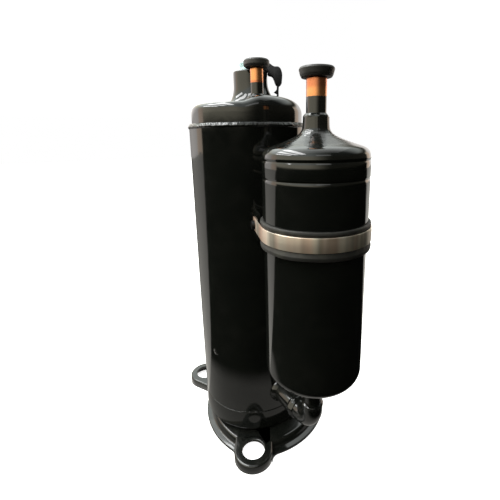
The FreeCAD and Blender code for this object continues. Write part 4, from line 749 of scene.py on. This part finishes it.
def line_stubs():
    bottom = STUB_SHOULDER - 8
    stub = lathe("discharge_stub_tube", pipe_profile(STUB_RADIUS, STUB_WALL, bottom, STUB_TOP),
                 axis=STUB_AXIS, steps=128, node="discharge_pipe", slot="copper")
    stub.data.materials[0] = MATERIALS["copper_stub"]
    inlet = lathe("suction_inlet_tube",
                  pipe_profile(INLET_RADIUS, INLET_WALL, COLLAR_TOP - 6, INLET_TOP),
                  axis=ACC_AXIS, steps=128, node="suction_inlet_pipe", slot="copper")
    dimple(inlet, DIMPLE_HEIGHT, DIMPLE_HEADING)
    foot = STUB_SHOULDER

    def melt(radius, height, heading):
        share = max(0.0, (radius - STUB_RADIUS) / 3)
        return 0.6 * share * wave_round(heading, 2.2, 0, 7), 0.5 * share * wave_round(heading, 2.2, 0, 8)

    braze = rounded([(STUB_RADIUS - 0.5, foot - 5, 0), (STUB_RADIUS + 4.2, foot - 5, 0),
                     (STUB_RADIUS + 3.6, foot - 2.4, 0.8), (STUB_RADIUS + 1.4, foot - 1.0, 1.2),
                     (STUB_RADIUS + 0.3, foot, 0.4), (STUB_RADIUS - 0.5, foot, 0)])
    lathe("discharge_braze_ring", braze, axis=STUB_AXIS, steps=128, move=melt, node="discharge_braze")
    collar = rounded([
        (INLET_RADIUS - 0.4, COLLAR_TOP - 0.6, 0), (COLLAR_RADIUS, COLLAR_TOP - 0.6, 0.5),
        (COLLAR_RADIUS - 0.5, COLLAR_TOP + 1.2, 0.8), (INLET_RADIUS + 0.5, INLET_SHOULDER - 0.5, 1),
        (INLET_RADIUS - 0.4, INLET_SHOULDER, 0)])
    lathe("inlet_braze_ring", collar, axis=ACC_AXIS, steps=128, move=melt, node="inlet_braze")


def dimple(obj, height, heading):
    """A small punched dent in a tube's side."""
    out = polar(heading, 1)
    spot = Vector((*ACC_AXIS, height)) + out * INLET_RADIUS
    for vert in obj.data.vertices:
        point = vert.co / MM
        if (point - spot).length < 4 and (point.xy - Vector(ACC_AXIS)).length > INLET_RADIUS - 0.2:
            vert.co -= out * 0.9 * math.exp(-((point - spot).length / 1.3)**2) * MM


def stopper(name, node, axis, tube, seed, corners):
    """A soft rubber stopper whose shank fits a tube of (radius, wall, top).

    The head's corners are (inset from its radius, distance from its foot or top, rounding, from foot).
    """
    low, high = node_box(node)
    radius, wall, rim = tube
    head, head_radius, shank = rim + 0.3, (high.x - low.x) / 2, radius - wall - 0.15
    outline = [(0.01, low.z, 0), (shank, low.z, 0.5), (shank, head, 0.3)]
    outline += [(head_radius - inset, head + rise if from_foot else high.z - rise, turn)
                for inset, rise, turn, from_foot in corners]
    outline.append((0.01, outline[-1][1], 0))
    lathe(name, rounded(outline), axis=axis, steps=160, move=soft_edge(seed), body=node, node=node,
          slot="plug_rubber")


def plugs():
    stopper("discharge_stopper", "discharge_plug", STUB_AXIS, (STUB_RADIUS, STUB_WALL, STUB_TOP), 11, [
        (1.8, 0, 0.9, True), (0, 2.2, 1.4, True), (0, 1.4, 1.2, False), (1.3, 0, 1.0, False),
        (5, 0.35, 0.4, False)])
    stopper("suction_stopper", "suction_plug", ACC_AXIS, (INLET_RADIUS, INLET_WALL, INLET_TOP), 12, [
        (2.0, 0, 1.0, True), (0.9, 2.2, 1.0, True), (0, 1.6, 1.0, False), (0.9, 0, 0.8, False),
        (4.2, 0.3, 0.4, False)])


def soft_edge(seed):
    """Rubber isn't quite round."""
    def move(radius, height, heading):
        size = 0.12 * max(0.0, (radius - 7) / 6)
        return size * wave_round(heading, 1.1, height / 6, seed), size * wave_round(heading, 1.1, 3, seed)
    return move


# ---------------------------------------------------------------- accumulator


def groove_points(height, radius, depth=0.6):
    """A shallow rolled groove, from its lower lip up."""
    return [(radius, height - 1.5), (radius - 0.1, height - 1.15), (radius - depth * 0.75, height - 0.45),
            (radius - depth, height), (radius - depth * 0.75, height + 0.45),
            (radius - 0.1, height + 1.15), (radius, height + 1.5)]


def accumulator():
    radius = ACC_UPPER_RADIUS
    wall = [(radius, ACC_JOINT + 0.5)] + [(radius, ACC_JOINT + 2 + 5.5 * i) for i in range(9)]
    wall = [p for p in wall if p[1] < GROOVES[0] - 3]
    for height in GROOVES:
        wall += groove_points(height, radius)
    cone = [(radius - 0.1, 311.4), (radius - 0.9, 314.3), (radius - 3.2, 317.0), (radius - 6.4, 318.8),
            (29.5, 321.3), (23.6, 323.5), (17.6, 326.0), (13.4, 328.6), (11.4, 331.2), (10.7, 334.0),
            (10.45, 337.6), (COLLAR_RADIUS, COLLAR_TOP)]
    outer = spline(wall[-1:] + cone, 0.45)
    inner = [(INLET_RADIUS - 0.3, COLLAR_TOP), (INLET_RADIUS - 0.3, 329), (23, 320), (36, 314.5),
             (radius - ACC_WALL, 310), (radius - ACC_WALL, ACC_JOINT), (radius - 0.5, ACC_JOINT)]
    profile = wall[:-1] + outer + inner

    def spun(across, height, heading):
        """Turning ridges on the cone and a few runs of paint under the collar."""
        turn = polar(heading, 1)
        ridge = 0.0
        if 12 < across < 36 and height > 319.4:
            fade = min(1.0, (36 - across) / 8, (across - 12) / 2)
            ridge = 0.13 * fade * math.sin(2 * math.pi * across / CONE_RIDGE_PITCH)
        run = 0.0
        if 10.2 < across < 17 and height > 326:
            run = 0.45 * max(0.0, wave(turn.x * 3.4, turn.y * 3.4, 1, 13)) * min(1.0, (17 - across) / 3)
        sway = 0.06 * wave(turn.x * 1.5, turn.y * 1.5, height / 40, 14) if across > 40 else 0
        return run + sway, ridge + run * 0.4

    lathe("accumulator_upper", profile, axis=ACC_AXIS, steps=288, move=spun, node="accumulator_upper_cup",
          sharp=60)
    radius = ACC_RADIUS
    inner = radius - ACC_WALL
    side = [(radius, ACC_BOTTOM + 12 + (ACC_JOINT - 1 - ACC_BOTTOM - 12) * i / 16) for i in range(17)]
    dish = [(radius - 12 + 12 * x, ACC_BOTTOM + 12 + 12 * y) for x, y in arc((0, 0), 1, -90, 0, 24)]
    profile = [(INLET_RADIUS + 0.1, ACC_BOTTOM), (20, ACC_BOTTOM)] + dish + side[1:]
    profile += [(inner, ACC_JOINT - 1), (inner, ACC_BOTTOM + 14), (radius - 14, ACC_BOTTOM + 2),
                (INLET_RADIUS + 0.1, ACC_BOTTOM + 2)]

    def drawn(across, height, heading):
        turn = polar(heading, 1)
        return (0.08 * wave(turn.x * 1.4, turn.y * 1.4, height / 50, 15) if across > 40 else 0), 0

    lathe("accumulator_lower", profile, axis=ACC_AXIS, steps=256, move=drawn, node="accumulator_lower_cup")


def band():
    """Rubber pad, strip and the strip's flat ends."""
    base = ACC_UPPER_RADIUS
    lip = BAND_INNER + 0.9
    pad = rounded([(base - 0.4, PAD_BOTTOM, 0.3), (lip - 0.4, PAD_BOTTOM, 0.8), (lip, PAD_BOTTOM + 3, 1),
                   (BAND_INNER, BAND_BOTTOM - 0.6, 0.6), (BAND_INNER, BAND_TOP + 0.4, 0.4),
                   (lip - 0.2, BAND_TOP + 2, 0.9), (lip - 0.5, PAD_TOP, 0.8), (base - 0.4, PAD_TOP, 0.3)])

    def squeezed(radius, height, heading):
        outside = max(0.0, (radius - base) / 2)
        edge = min(1.0, abs(height - (BAND_TOP + BAND_BOTTOM) / 2) / 11)
        return (0.5 * outside * edge * wave_round(heading, 1.6, height / 9, 16),
                0.7 * edge**3 * wave_round(heading, 1.6, 7, 17))

    lathe("band_rubber_pad", pad, axis=ACC_AXIS, steps=256, move=squeezed, node="band_pad",
          slot="pad_rubber")
    axis = Vector((*ACC_AXIS, 0))
    middle = BAND_INNER + BAND_THICK / 2
    reach = 90 + WING_ANGLE
    backs = [TAB_START] + [TAB_LENGTH * step / 8 for step in range(1, 9)]
    wrap = [-reach + 2 * reach * step / 180 for step in range(181)]
    run = [tab_station(axis, middle, -1, back) for back in reversed(backs)]
    run += [(axis + polar(heading, middle), (polar(heading, 1), Vector((0, 0, 1)))) for heading in wrap]
    run += [tab_station(axis, middle, 1, back) for back in backs]
    height = (BAND_TOP - BAND_BOTTOM) / 2
    section = rounded([(-BAND_THICK / 2, BAND_BOTTOM, 0.3), (BAND_THICK / 2 - 0.1, BAND_BOTTOM, 0.4),
                       (BAND_THICK / 2, BAND_BOTTOM + height, 20),
                       (BAND_THICK / 2 - 0.1, BAND_TOP, 0.4), (-BAND_THICK / 2, BAND_TOP, 0.3)], steps=4)
    centres, frames = zip(*run)
    swept("band_strip", centres, frames, section, node="band_clamp", slot="stainless")


def tab_station(axis, middle, mirror, back):
    """A section of one of the band's flat ends, a distance back from where it leaves the pad."""
    out = polar(mirror * (90 + WING_ANGLE), 1)
    along = polar(mirror * WING_ANGLE + 180, 1)
    return axis + out * middle + along * back, (out, Vector((0, 0, 1)))


def softened_nodes():
    """CAD nodes that stay get worn edges."""
    for node, width in (("accumulator_bracket", 0.5), ("band_screws", 0.35), ("strap_eyelet", 0.4),
                        ("terminal_plate", 0.3)):
        modifier = NODES[node].modifiers.new("edges", "BEVEL")
        modifier.width = width * MM
        modifier.segments = 2
        modifier.limit_method = "ANGLE"
        modifier.angle_limit = math.radians(35)
        modifier.harden_normals = True


# ---------------------------------------------------------------- suction elbow


def elbow():
    """The sleeve from the shell, the elbow and the accumulator's outlet, with their brazes."""
    bend, corner, centre_z = ELBOW_BEND, ACC_AXIS[0] - ELBOW_BEND, ELBOW_HEIGHT + ELBOW_BEND
    points = [(ELBOW_LEFT + (corner - ELBOW_LEFT) * i / 5, ELBOW_HEIGHT, 0.0) for i in range(5)]
    points += [(corner + bend * math.sin(math.radians(a)), centre_z - bend * math.cos(math.radians(a)),
                float(a)) for a in range(0, 91, 3)]
    points += [(ACC_AXIS[0], centre_z + (ELBOW_TOP - centre_z) * i / 5, 90.0) for i in range(1, 6)]
    centres = [Vector((x, 0, z)) for x, z, _ in points]
    frames = [(Vector((-math.sin(math.radians(a)), 0, math.cos(math.radians(a)))), Vector((0, 1, 0)))
              for _, _, a in points]
    section = arc((0, 0), ELBOW_RADIUS, 0, 360, 96)[:-1]
    swept("suction_elbow_bend", centres, frames, section, node="suction_elbow")
    ring = rounded([(INLET_RADIUS, 55.5, 0), (SLEEVE_RADIUS, 55.5, 0), (SLEEVE_RADIUS, SLEEVE_END - 1.2, 0.8),
                    (SLEEVE_RADIUS - 0.8, SLEEVE_END, 0.6), (INLET_RADIUS + 0.4, SLEEVE_END, 0.4),
                    (INLET_RADIUS, SLEEVE_END - 1, 0)])
    level_lathe("suction_sleeve_ring", ring, 0.0, node="suction_sleeve")
    weld = rounded([
        (SLEEVE_RADIUS - 1, SHELL_RADIUS - 2.5, 0), (SLEEVE_RADIUS + 3.4, SHELL_RADIUS - 2.5, 0.5),
        (SLEEVE_RADIUS + 2.6, SHELL_RADIUS + 1.2, 1.2), (SLEEVE_RADIUS - 0.2, SHELL_RADIUS + 4.0, 1.0),
        (SLEEVE_RADIUS - 1, SHELL_RADIUS + 4.0, 0)])
    level_lathe("suction_sleeve_weld", weld, 0.5, seed=21)
    braze = rounded([
        (INLET_RADIUS - 0.3, SLEEVE_END - 1.2, 0), (SLEEVE_RADIUS - 0.2, SLEEVE_END - 1.4, 0.8),
        (SLEEVE_RADIUS + 1.3, SLEEVE_END + 1.6, 1.6), (SLEEVE_RADIUS + 1.5, ELBOW_LEFT + 0.4, 1.6),
        (ELBOW_RADIUS + 0.4, ELBOW_LEFT + 3.4, 1.2), (INLET_RADIUS - 0.3, ELBOW_LEFT + 3.6, 0)])
    level_lathe("suction_tube_braze", braze, 0.9, seed=22, node="suction_tube")
    outlet = rounded([(INLET_RADIUS - 1, ELBOW_TOP - 3, 0), (INLET_RADIUS, ELBOW_TOP - 3, 0),
                      (INLET_RADIUS, ACC_BOTTOM + 3, 0), (INLET_RADIUS - 1, ACC_BOTTOM + 3, 0)])
    lathe("accumulator_outlet", outlet, axis=ACC_AXIS, steps=96)
    lip = rounded([(INLET_RADIUS - 0.3, ELBOW_TOP - 1.4, 0), (ELBOW_RADIUS + 0.5, ELBOW_TOP - 1.6, 0.5),
                   (ELBOW_RADIUS + 0.5, ELBOW_TOP + 0.4, 0.7), (INLET_RADIUS + 0.6, ELBOW_TOP + 1.7, 0.9),
                   (INLET_RADIUS - 0.3, ELBOW_TOP + 2.0, 0)])

    def lumpy(radius, height, heading):
        share = max(0.0, (radius - INLET_RADIUS) / 2)
        return 0.35 * share * wave_round(heading, 2.0, 0, 23), 0.4 * share * wave_round(heading, 2.0, 0, 24)

    lathe("outlet_braze_ring", lip, axis=ACC_AXIS, steps=128, move=lumpy)


def level_lathe(name, profile, lumps, seed=0, node=None):
    """Turns a profile of (radius, distance along X) about the level suction axis."""
    steps = 128
    verts = []
    for step in range(steps):
        angle = 2 * math.pi * step / steps
        for radius, along in profile:
            off = lumps * wave(math.cos(angle) * 2.6, math.sin(angle) * 2.6, along / 3, seed)
            size = radius + (off if radius > INLET_RADIUS + 0.2 else 0)
            verts.append(Vector((along, size * math.cos(angle), ELBOW_HEIGHT + size * math.sin(angle))))
    return piece(name, verts, rings_to_faces(steps, len(profile), closed_rings=True), node=node, sharp=55)


# ---------------------------------------------------------------- base plate


def side_circle(index, inset):
    """Centre and radius of the arc after an ear: the wide apron, the rear and the front side."""
    if index % 3 == 0:
        return Vector((0, 0, 0)), APRON_RADIUS - inset
    if index % 3 == 1:
        return polar(EAR_HEADINGS[0] + 180, PLATE_CORE - REAR_BOW), REAR_BOW - inset
    return FRONT_BOW_CENTRE, FRONT_BOW - inset


def ear_corner(heading, sign, circle, inset):
    """Centre of the inward arc between an ear's side and a circle, and its two ends."""
    centre, radius = circle
    along, across = polar(heading, 1), polar(heading + 90 * sign, 1)
    width, size = EAR_RADIUS - inset, EAR_BLEND + inset
    off = width + size - centre.dot(across)
    spot = along * (centre.dot(along) + math.sqrt((radius + size)**2 - off**2)) + across * (width + size)
    return spot, spot - across * size, centre + (spot - centre) * (radius / (radius + size))


def bow(centre, start, end, steps):
    """Points from start to end, round a centre, the short way; the end isn't included."""
    one, other = start - centre, end - centre
    turn = math.atan2(one.cross(other).z, one.dot(other))
    return [centre + Matrix.Rotation(turn * i / steps, 3, "Z") @ one for i in range(steps)]


def plate_loop(inset, height):
    """The base plate's outline, drawn in by an inset."""
    points = []
    for index, heading in enumerate(EAR_HEADINGS):
        before = ear_corner(heading, -1, side_circle(index - 1, inset), inset)
        after = ear_corner(heading, 1, side_circle(index, inset), inset)
        following = ear_corner(heading + 120, -1, side_circle(index, inset), inset)
        tip = polar(heading, EAR_CIRCLE)
        side = polar(heading + 90, EAR_RADIUS - inset)
        nose = tip + polar(heading, EAR_RADIUS - inset)
        points += bow(before[0], before[2], before[1], 12)
        points += [before[1], (before[1] + tip - side) / 2]
        points += bow(tip, tip - side, nose, 20) + bow(tip, nose, tip + side, 20)
        points += [tip + side, (tip + side + after[1]) / 2]
        points += bow(after[0], after[1], after[2], 12)
        points += bow(side_circle(index, inset)[0], after[2], following[2], 40)
    return [Vector((p.x, p.y, height)) for p in points]


def ear_tab(heading):
    """Levels of a tab with a round end: its top edge is rolled."""
    edge = 2.4
    levels = [(PLATE_WALL, PLATFORM_TOP - PLATE_WALL), (PLATE_WALL, 0.3), (PLATE_WALL - 0.3, 0.0),
              (0.4, 0.0), (0.0, 0.5)]
    levels += [(edge - edge * x, PLATFORM_TOP - edge + edge * y) for x, y in arc((0, 0), 1, 0, 90, 9)]
    out, side = polar(heading, 1), polar(heading + 90, 1)
    root = SHELL_RADIUS - 8
    loops = []
    for inset, height in levels:
        half = EAR_RADIUS - inset
        loop = [(root, -half), ((root + EAR_CIRCLE) / 2, -half)]
        loop += arc((EAR_CIRCLE, 0), half, -90, 90, 48)
        loop += [((root + EAR_CIRCLE) / 2, half), (root, half)]
        loops.append([out * x + side * y + Vector((0, 0, height)) for x, y in loop])
    return loops


def stacked(name, loops, **facts):
    """A solid whose outline changes from loop to loop; both ends are closed."""
    size = len(loops[0])
    verts = [v for loop in loops for v in loop]
    faces = rings_to_faces(len(loops), size) + end_faces(len(loops), size)
    return piece(name, verts, faces, **facts)


def base_plate():
    """A pressed sheet: a flange, a raised level top and three drilled tabs."""
    top, wall, foot = PLATFORM_TOP, PLATE_WALL, FLANGE_WIDTH
    crest = foot + WALL_LEAN
    levels = [(crest + wall, top - wall), (foot + wall, 0.3), (foot + wall - 0.3, 0.0), (0.5, 0.0),
              (0.0, 0.5), (0.0, wall - 0.9), (0.25, wall - 0.3), (0.9, wall), (foot - 1.6, wall + 0.05),
              (foot - 0.6, wall + 0.4), (foot, wall + 1.3), (foot + 0.5, wall + 2.6)]
    levels += [(crest - 1.0, top - 1.6), (crest - 0.5, top - 0.7), (crest + 0.3, top - 0.15),
               (crest + 1.4, top)]
    plate = stacked("base_plate_pressing", [plate_loop(inset, height) for inset, height in levels],
                    node="base_plate", sharp=50)
    tabs = [stacked(f"base_plate_tab_{index + 1}", ear_tab(heading), sharp=50)
            for index, heading in enumerate(EAR_HEADINGS)]
    for heading, tab in zip(EAR_HEADINGS, tabs):
        spot = polar(heading, EAR_CIRCLE)
        under, lip = PLATFORM_TOP - PLATE_WALL - 1, 0.8
        hole = [(0.01, under), (EAR_HOLE, under)]
        hole += [(EAR_HOLE + lip - lip * x, PLATFORM_TOP - lip + lip * y)
                 for x, y in arc((0, 0), 1, 5, 84, 6)]
        hole += [(EAR_HOLE + lip, PLATFORM_TOP + 1), (0.01, PLATFORM_TOP + 1)]
        hollow = [(0.01, -1), (EAR_HOLLOW, -1), (EAR_HOLLOW, PLATFORM_TOP + 1), (0.01, PLATFORM_TOP + 1)]
        # The exact solver empties the pressing here. The fast one keeps it, but leaves open edges.
        for holed, profile, solver in ((tab, hole, "EXACT"), (plate, hollow, "FAST")):
            carve(holed, [lathe(f"hole_{heading:.0f}", profile, spot.xy, 96)], solver)
    for holed in (plate, *tabs):
        holed.data.shade_smooth()
        holed.data.set_sharp_from_angle(angle=math.radians(45))


# ---------------------------------------------------------------- camera, floor and light

CAMERA_PLACE = Vector((326.9, -174.7, 325.3)) * MM
CAMERA_HEADING, CAMERA_PITCH, CAMERA_ROLL = 147.44, -13.47, -0.79
CAMERA_LENS = 24.29
CAMERA_SHIFT = (-0.0519, -0.0613)
BEHIND_HEADING, BEHIND_EDGE, BEHIND_FADE = 160.0, 1.24, 1.32
WALL_STRENGTH, WALL_MIDDLE = 2.4, 0.20
ROOM_STRENGTH, CEILING_STRENGTH = 2.1, 1.3
POOL_EDGE, POOL_FADE, POOL_STRENGTH, FLOOR_DARK = 0.135, 0.175, 0.42, 0.004
LAMP_HEADING, LAMP_HEIGHT, LAMP_DISTANCES = -118, 1.9, (0.7, 1.25, 2.1)
LAMP_WIDTH, LAMP_TALL, LAMP_POWER = 1.9, 0.30, 22


def camera():
    heading, pitch, roll = (math.radians(a) for a in (CAMERA_HEADING, CAMERA_PITCH, CAMERA_ROLL))
    forward = Vector((math.cos(heading) * math.cos(pitch), math.sin(heading) * math.cos(pitch),
                      math.sin(pitch)))
    level = Vector((math.sin(heading), -math.cos(heading), 0))
    upright = level.cross(forward)
    right = level * math.cos(roll) + upright * math.sin(roll)
    up = right.cross(forward)
    data = bpy.data.cameras.new("camera")
    data.sensor_width = 36.0
    data.lens = CAMERA_LENS
    data.shift_x, data.shift_y = CAMERA_SHIFT
    data.clip_start = 0.01
    obj = bpy.data.objects.new("camera", data)
    bpy.context.scene.collection.objects.link(obj)
    axes = Matrix((right, up, -forward)).transposed().to_4x4()
    obj.matrix_world = Matrix.Translation(CAMERA_PLACE) @ axes
    bpy.context.scene.camera = obj


def floor():
    """A plain pale floor that glows white to the camera. To other rays it glows only in a pool near the feet
    and a sector behind, painted light that the paint mirrors.
    """
    mesh = bpy.data.meshes.new("floor")
    size = 6.0
    mesh.from_pydata([(-size, -size, 0), (size, -size, 0), (size, size, 0), (-size, size, 0)], [],
                     [(0, 1, 2, 3)])
    obj = bpy.data.objects.new("floor", mesh)
    bpy.context.scene.collection.objects.link(obj)
    tree = Nodes("floor_paper")
    tree.link(Base_Color=tree.mix(tree.noise(3, 4), (0.56, 0.56, 0.55), (0.60, 0.60, 0.59)))
    tree.set({"Roughness": 0.9, "Specular IOR Level": 0.1})
    path = tree.add("ShaderNodeLightPath").outputs["Is Camera Ray"]
    away = tree.add("ShaderNodeVectorMath", {0: tree.place}, operation="LENGTH").outputs["Value"]
    # Painted light: glowing pool near the feet and sector behind, seen only in reflections.
    glowing_pool = tree.ramp(away, POOL_EDGE, POOL_FADE, POOL_STRENGTH, FLOOR_DARK)
    way = tree.add("ShaderNodeVectorMath", {0: tree.place}, operation="NORMALIZE").outputs[0]
    off = tree.math("ARCCOSINE", tree.lean(way, BEHIND_HEADING))
    strip = tree.math("MULTIPLY", tree.ramp(off, BEHIND_FADE, BEHIND_EDGE),
                      tree.ramp(off, 0.0, BEHIND_EDGE, 0.07, 1.0))
    near = tree.math("MAXIMUM", glowing_pool, strip)
    reflected_glow = tree.add("ShaderNodeEmission", {"Color": (1, 0.97, 0.90, 1), "Strength": near}).outputs[0]
    glow = tree.add("ShaderNodeEmission", {"Color": (1, 1, 1, 1), "Strength": 1.0}).outputs[0]
    seen = tree.add("ShaderNodeAddShader", {0: tree.shader.outputs[0], 1: glow}).outputs[0]
    both = tree.add("ShaderNodeMixShader", {0: path, 1: reflected_glow, 2: seen}).outputs[0]
    tree.tree.links.new(both, tree.tree.nodes["Material Output"].inputs["Surface"])
    mesh.materials.append(MATERIALS["floor_paper"])


def soft_light(name, heading, distance, height, width, tall, power, aim=(0.04, 0, 0.2)):
    """A rectangular soft light that faces the object."""
    data = bpy.data.lights.new(name, "AREA")
    data.shape = "RECTANGLE"
    data.size, data.size_y = width, tall
    data.energy = power
    obj = bpy.data.objects.new(name, data)
    bpy.context.scene.collection.objects.link(obj)
    obj.location = polar(heading, distance, height)
    way = Vector(aim) - obj.location
    obj.rotation_euler = way.to_track_quat("-Z", "Y").to_euler()


class WorldNodes(NodeTree):
    """The world's node tree, as seen along a direction."""

    def __init__(self):
        world = bpy.data.worlds.new("studio")
        bpy.context.scene.world = world
        world.use_nodes = True
        super().__init__(world.node_tree)
        self.sky = self.tree.nodes["Background"]
        self.way = self.add("ShaderNodeTexCoord").outputs["Generated"]
        self.up = self.add("ShaderNodeSeparateXYZ", {0: self.way}).outputs["Z"]


def lights():
    """A pale wall behind, an olive room that is lit on the left, a cool ceiling with long lamps."""
    world = WorldNodes()
    off = world.math("ARCCOSINE", world.lean(world.way, BEHIND_HEADING))
    wall = world.math("MULTIPLY", world.ramp(off, BEHIND_FADE, BEHIND_EDGE),
                      world.ramp(off, 0.0, BEHIND_EDGE, WALL_MIDDLE, WALL_STRENGTH))
    wall = world.math("MULTIPLY", wall, world.ramp(world.up, 0.42, 0.28))
    room = world.math("MULTIPLY", world.ramp(world.up, 0.02, 0.10, 0.0, ROOM_STRENGTH),
                      world.ramp(world.lean(world.way, CAMERA_HEADING + 90), -0.45, 0.5, 0.04, 1.0))
    ceiling = world.math("MULTIPLY", world.ramp(world.up, 0.42, 0.60, 0.0, CEILING_STRENGTH),
                         world.ramp(world.lean(world.way, CAMERA_HEADING), -0.1, 0.4))
    total = world.math("ADD", world.math("MAXIMUM", wall, room), ceiling)
    olive = world.mix(world.ramp(world.up, 0.35, 0.6), (1.0, 0.94, 0.74), (0.90, 0.96, 0.92))
    grey = world.mix(world.ramp(off, 0.93, 1.06), (1.0, 0.95, 0.91), (1.0, 0.80, 0.64))
    colour = world.mix(world.ramp(off, BEHIND_FADE, BEHIND_EDGE), olive, grey)
    colour = world.mix(world.ramp(world.up, 0.28, 0.42), colour, olive)
    path = world.add("ShaderNodeLightPath").outputs["Is Camera Ray"]
    colour = world.mix(path, colour, (1.0, 1.0, 1.0))
    world.feed(world.sky.inputs["Color"], colour)
    world.feed(world.sky.inputs["Strength"], world.math("MAXIMUM", total, path))
    for row, distance in enumerate(LAMP_DISTANCES):
        soft_light(f"ceiling_lamp_{row}", LAMP_HEADING, distance, LAMP_HEIGHT, LAMP_WIDTH, LAMP_TALL,
                   LAMP_POWER)
    soft_light("fill_front", -20, 1.6, 1.6, 0.9, 0.5, 2)
    soft_light("top_floor", 152, 0.5, 2.0, 2.2, 2.2, 12, aim=(0, 0, 0))


# ---------------------------------------------------------------- build

for build in (camera, make_materials, floor, lights, shell, top_weld, bottom_cap, top_cap, terminal_boot,
              terminal_strap, line_stubs, plugs, accumulator, band, softened_nodes, elbow, base_plate):
    build()

bpy.context.scene.view_settings.view_transform = "Standard"
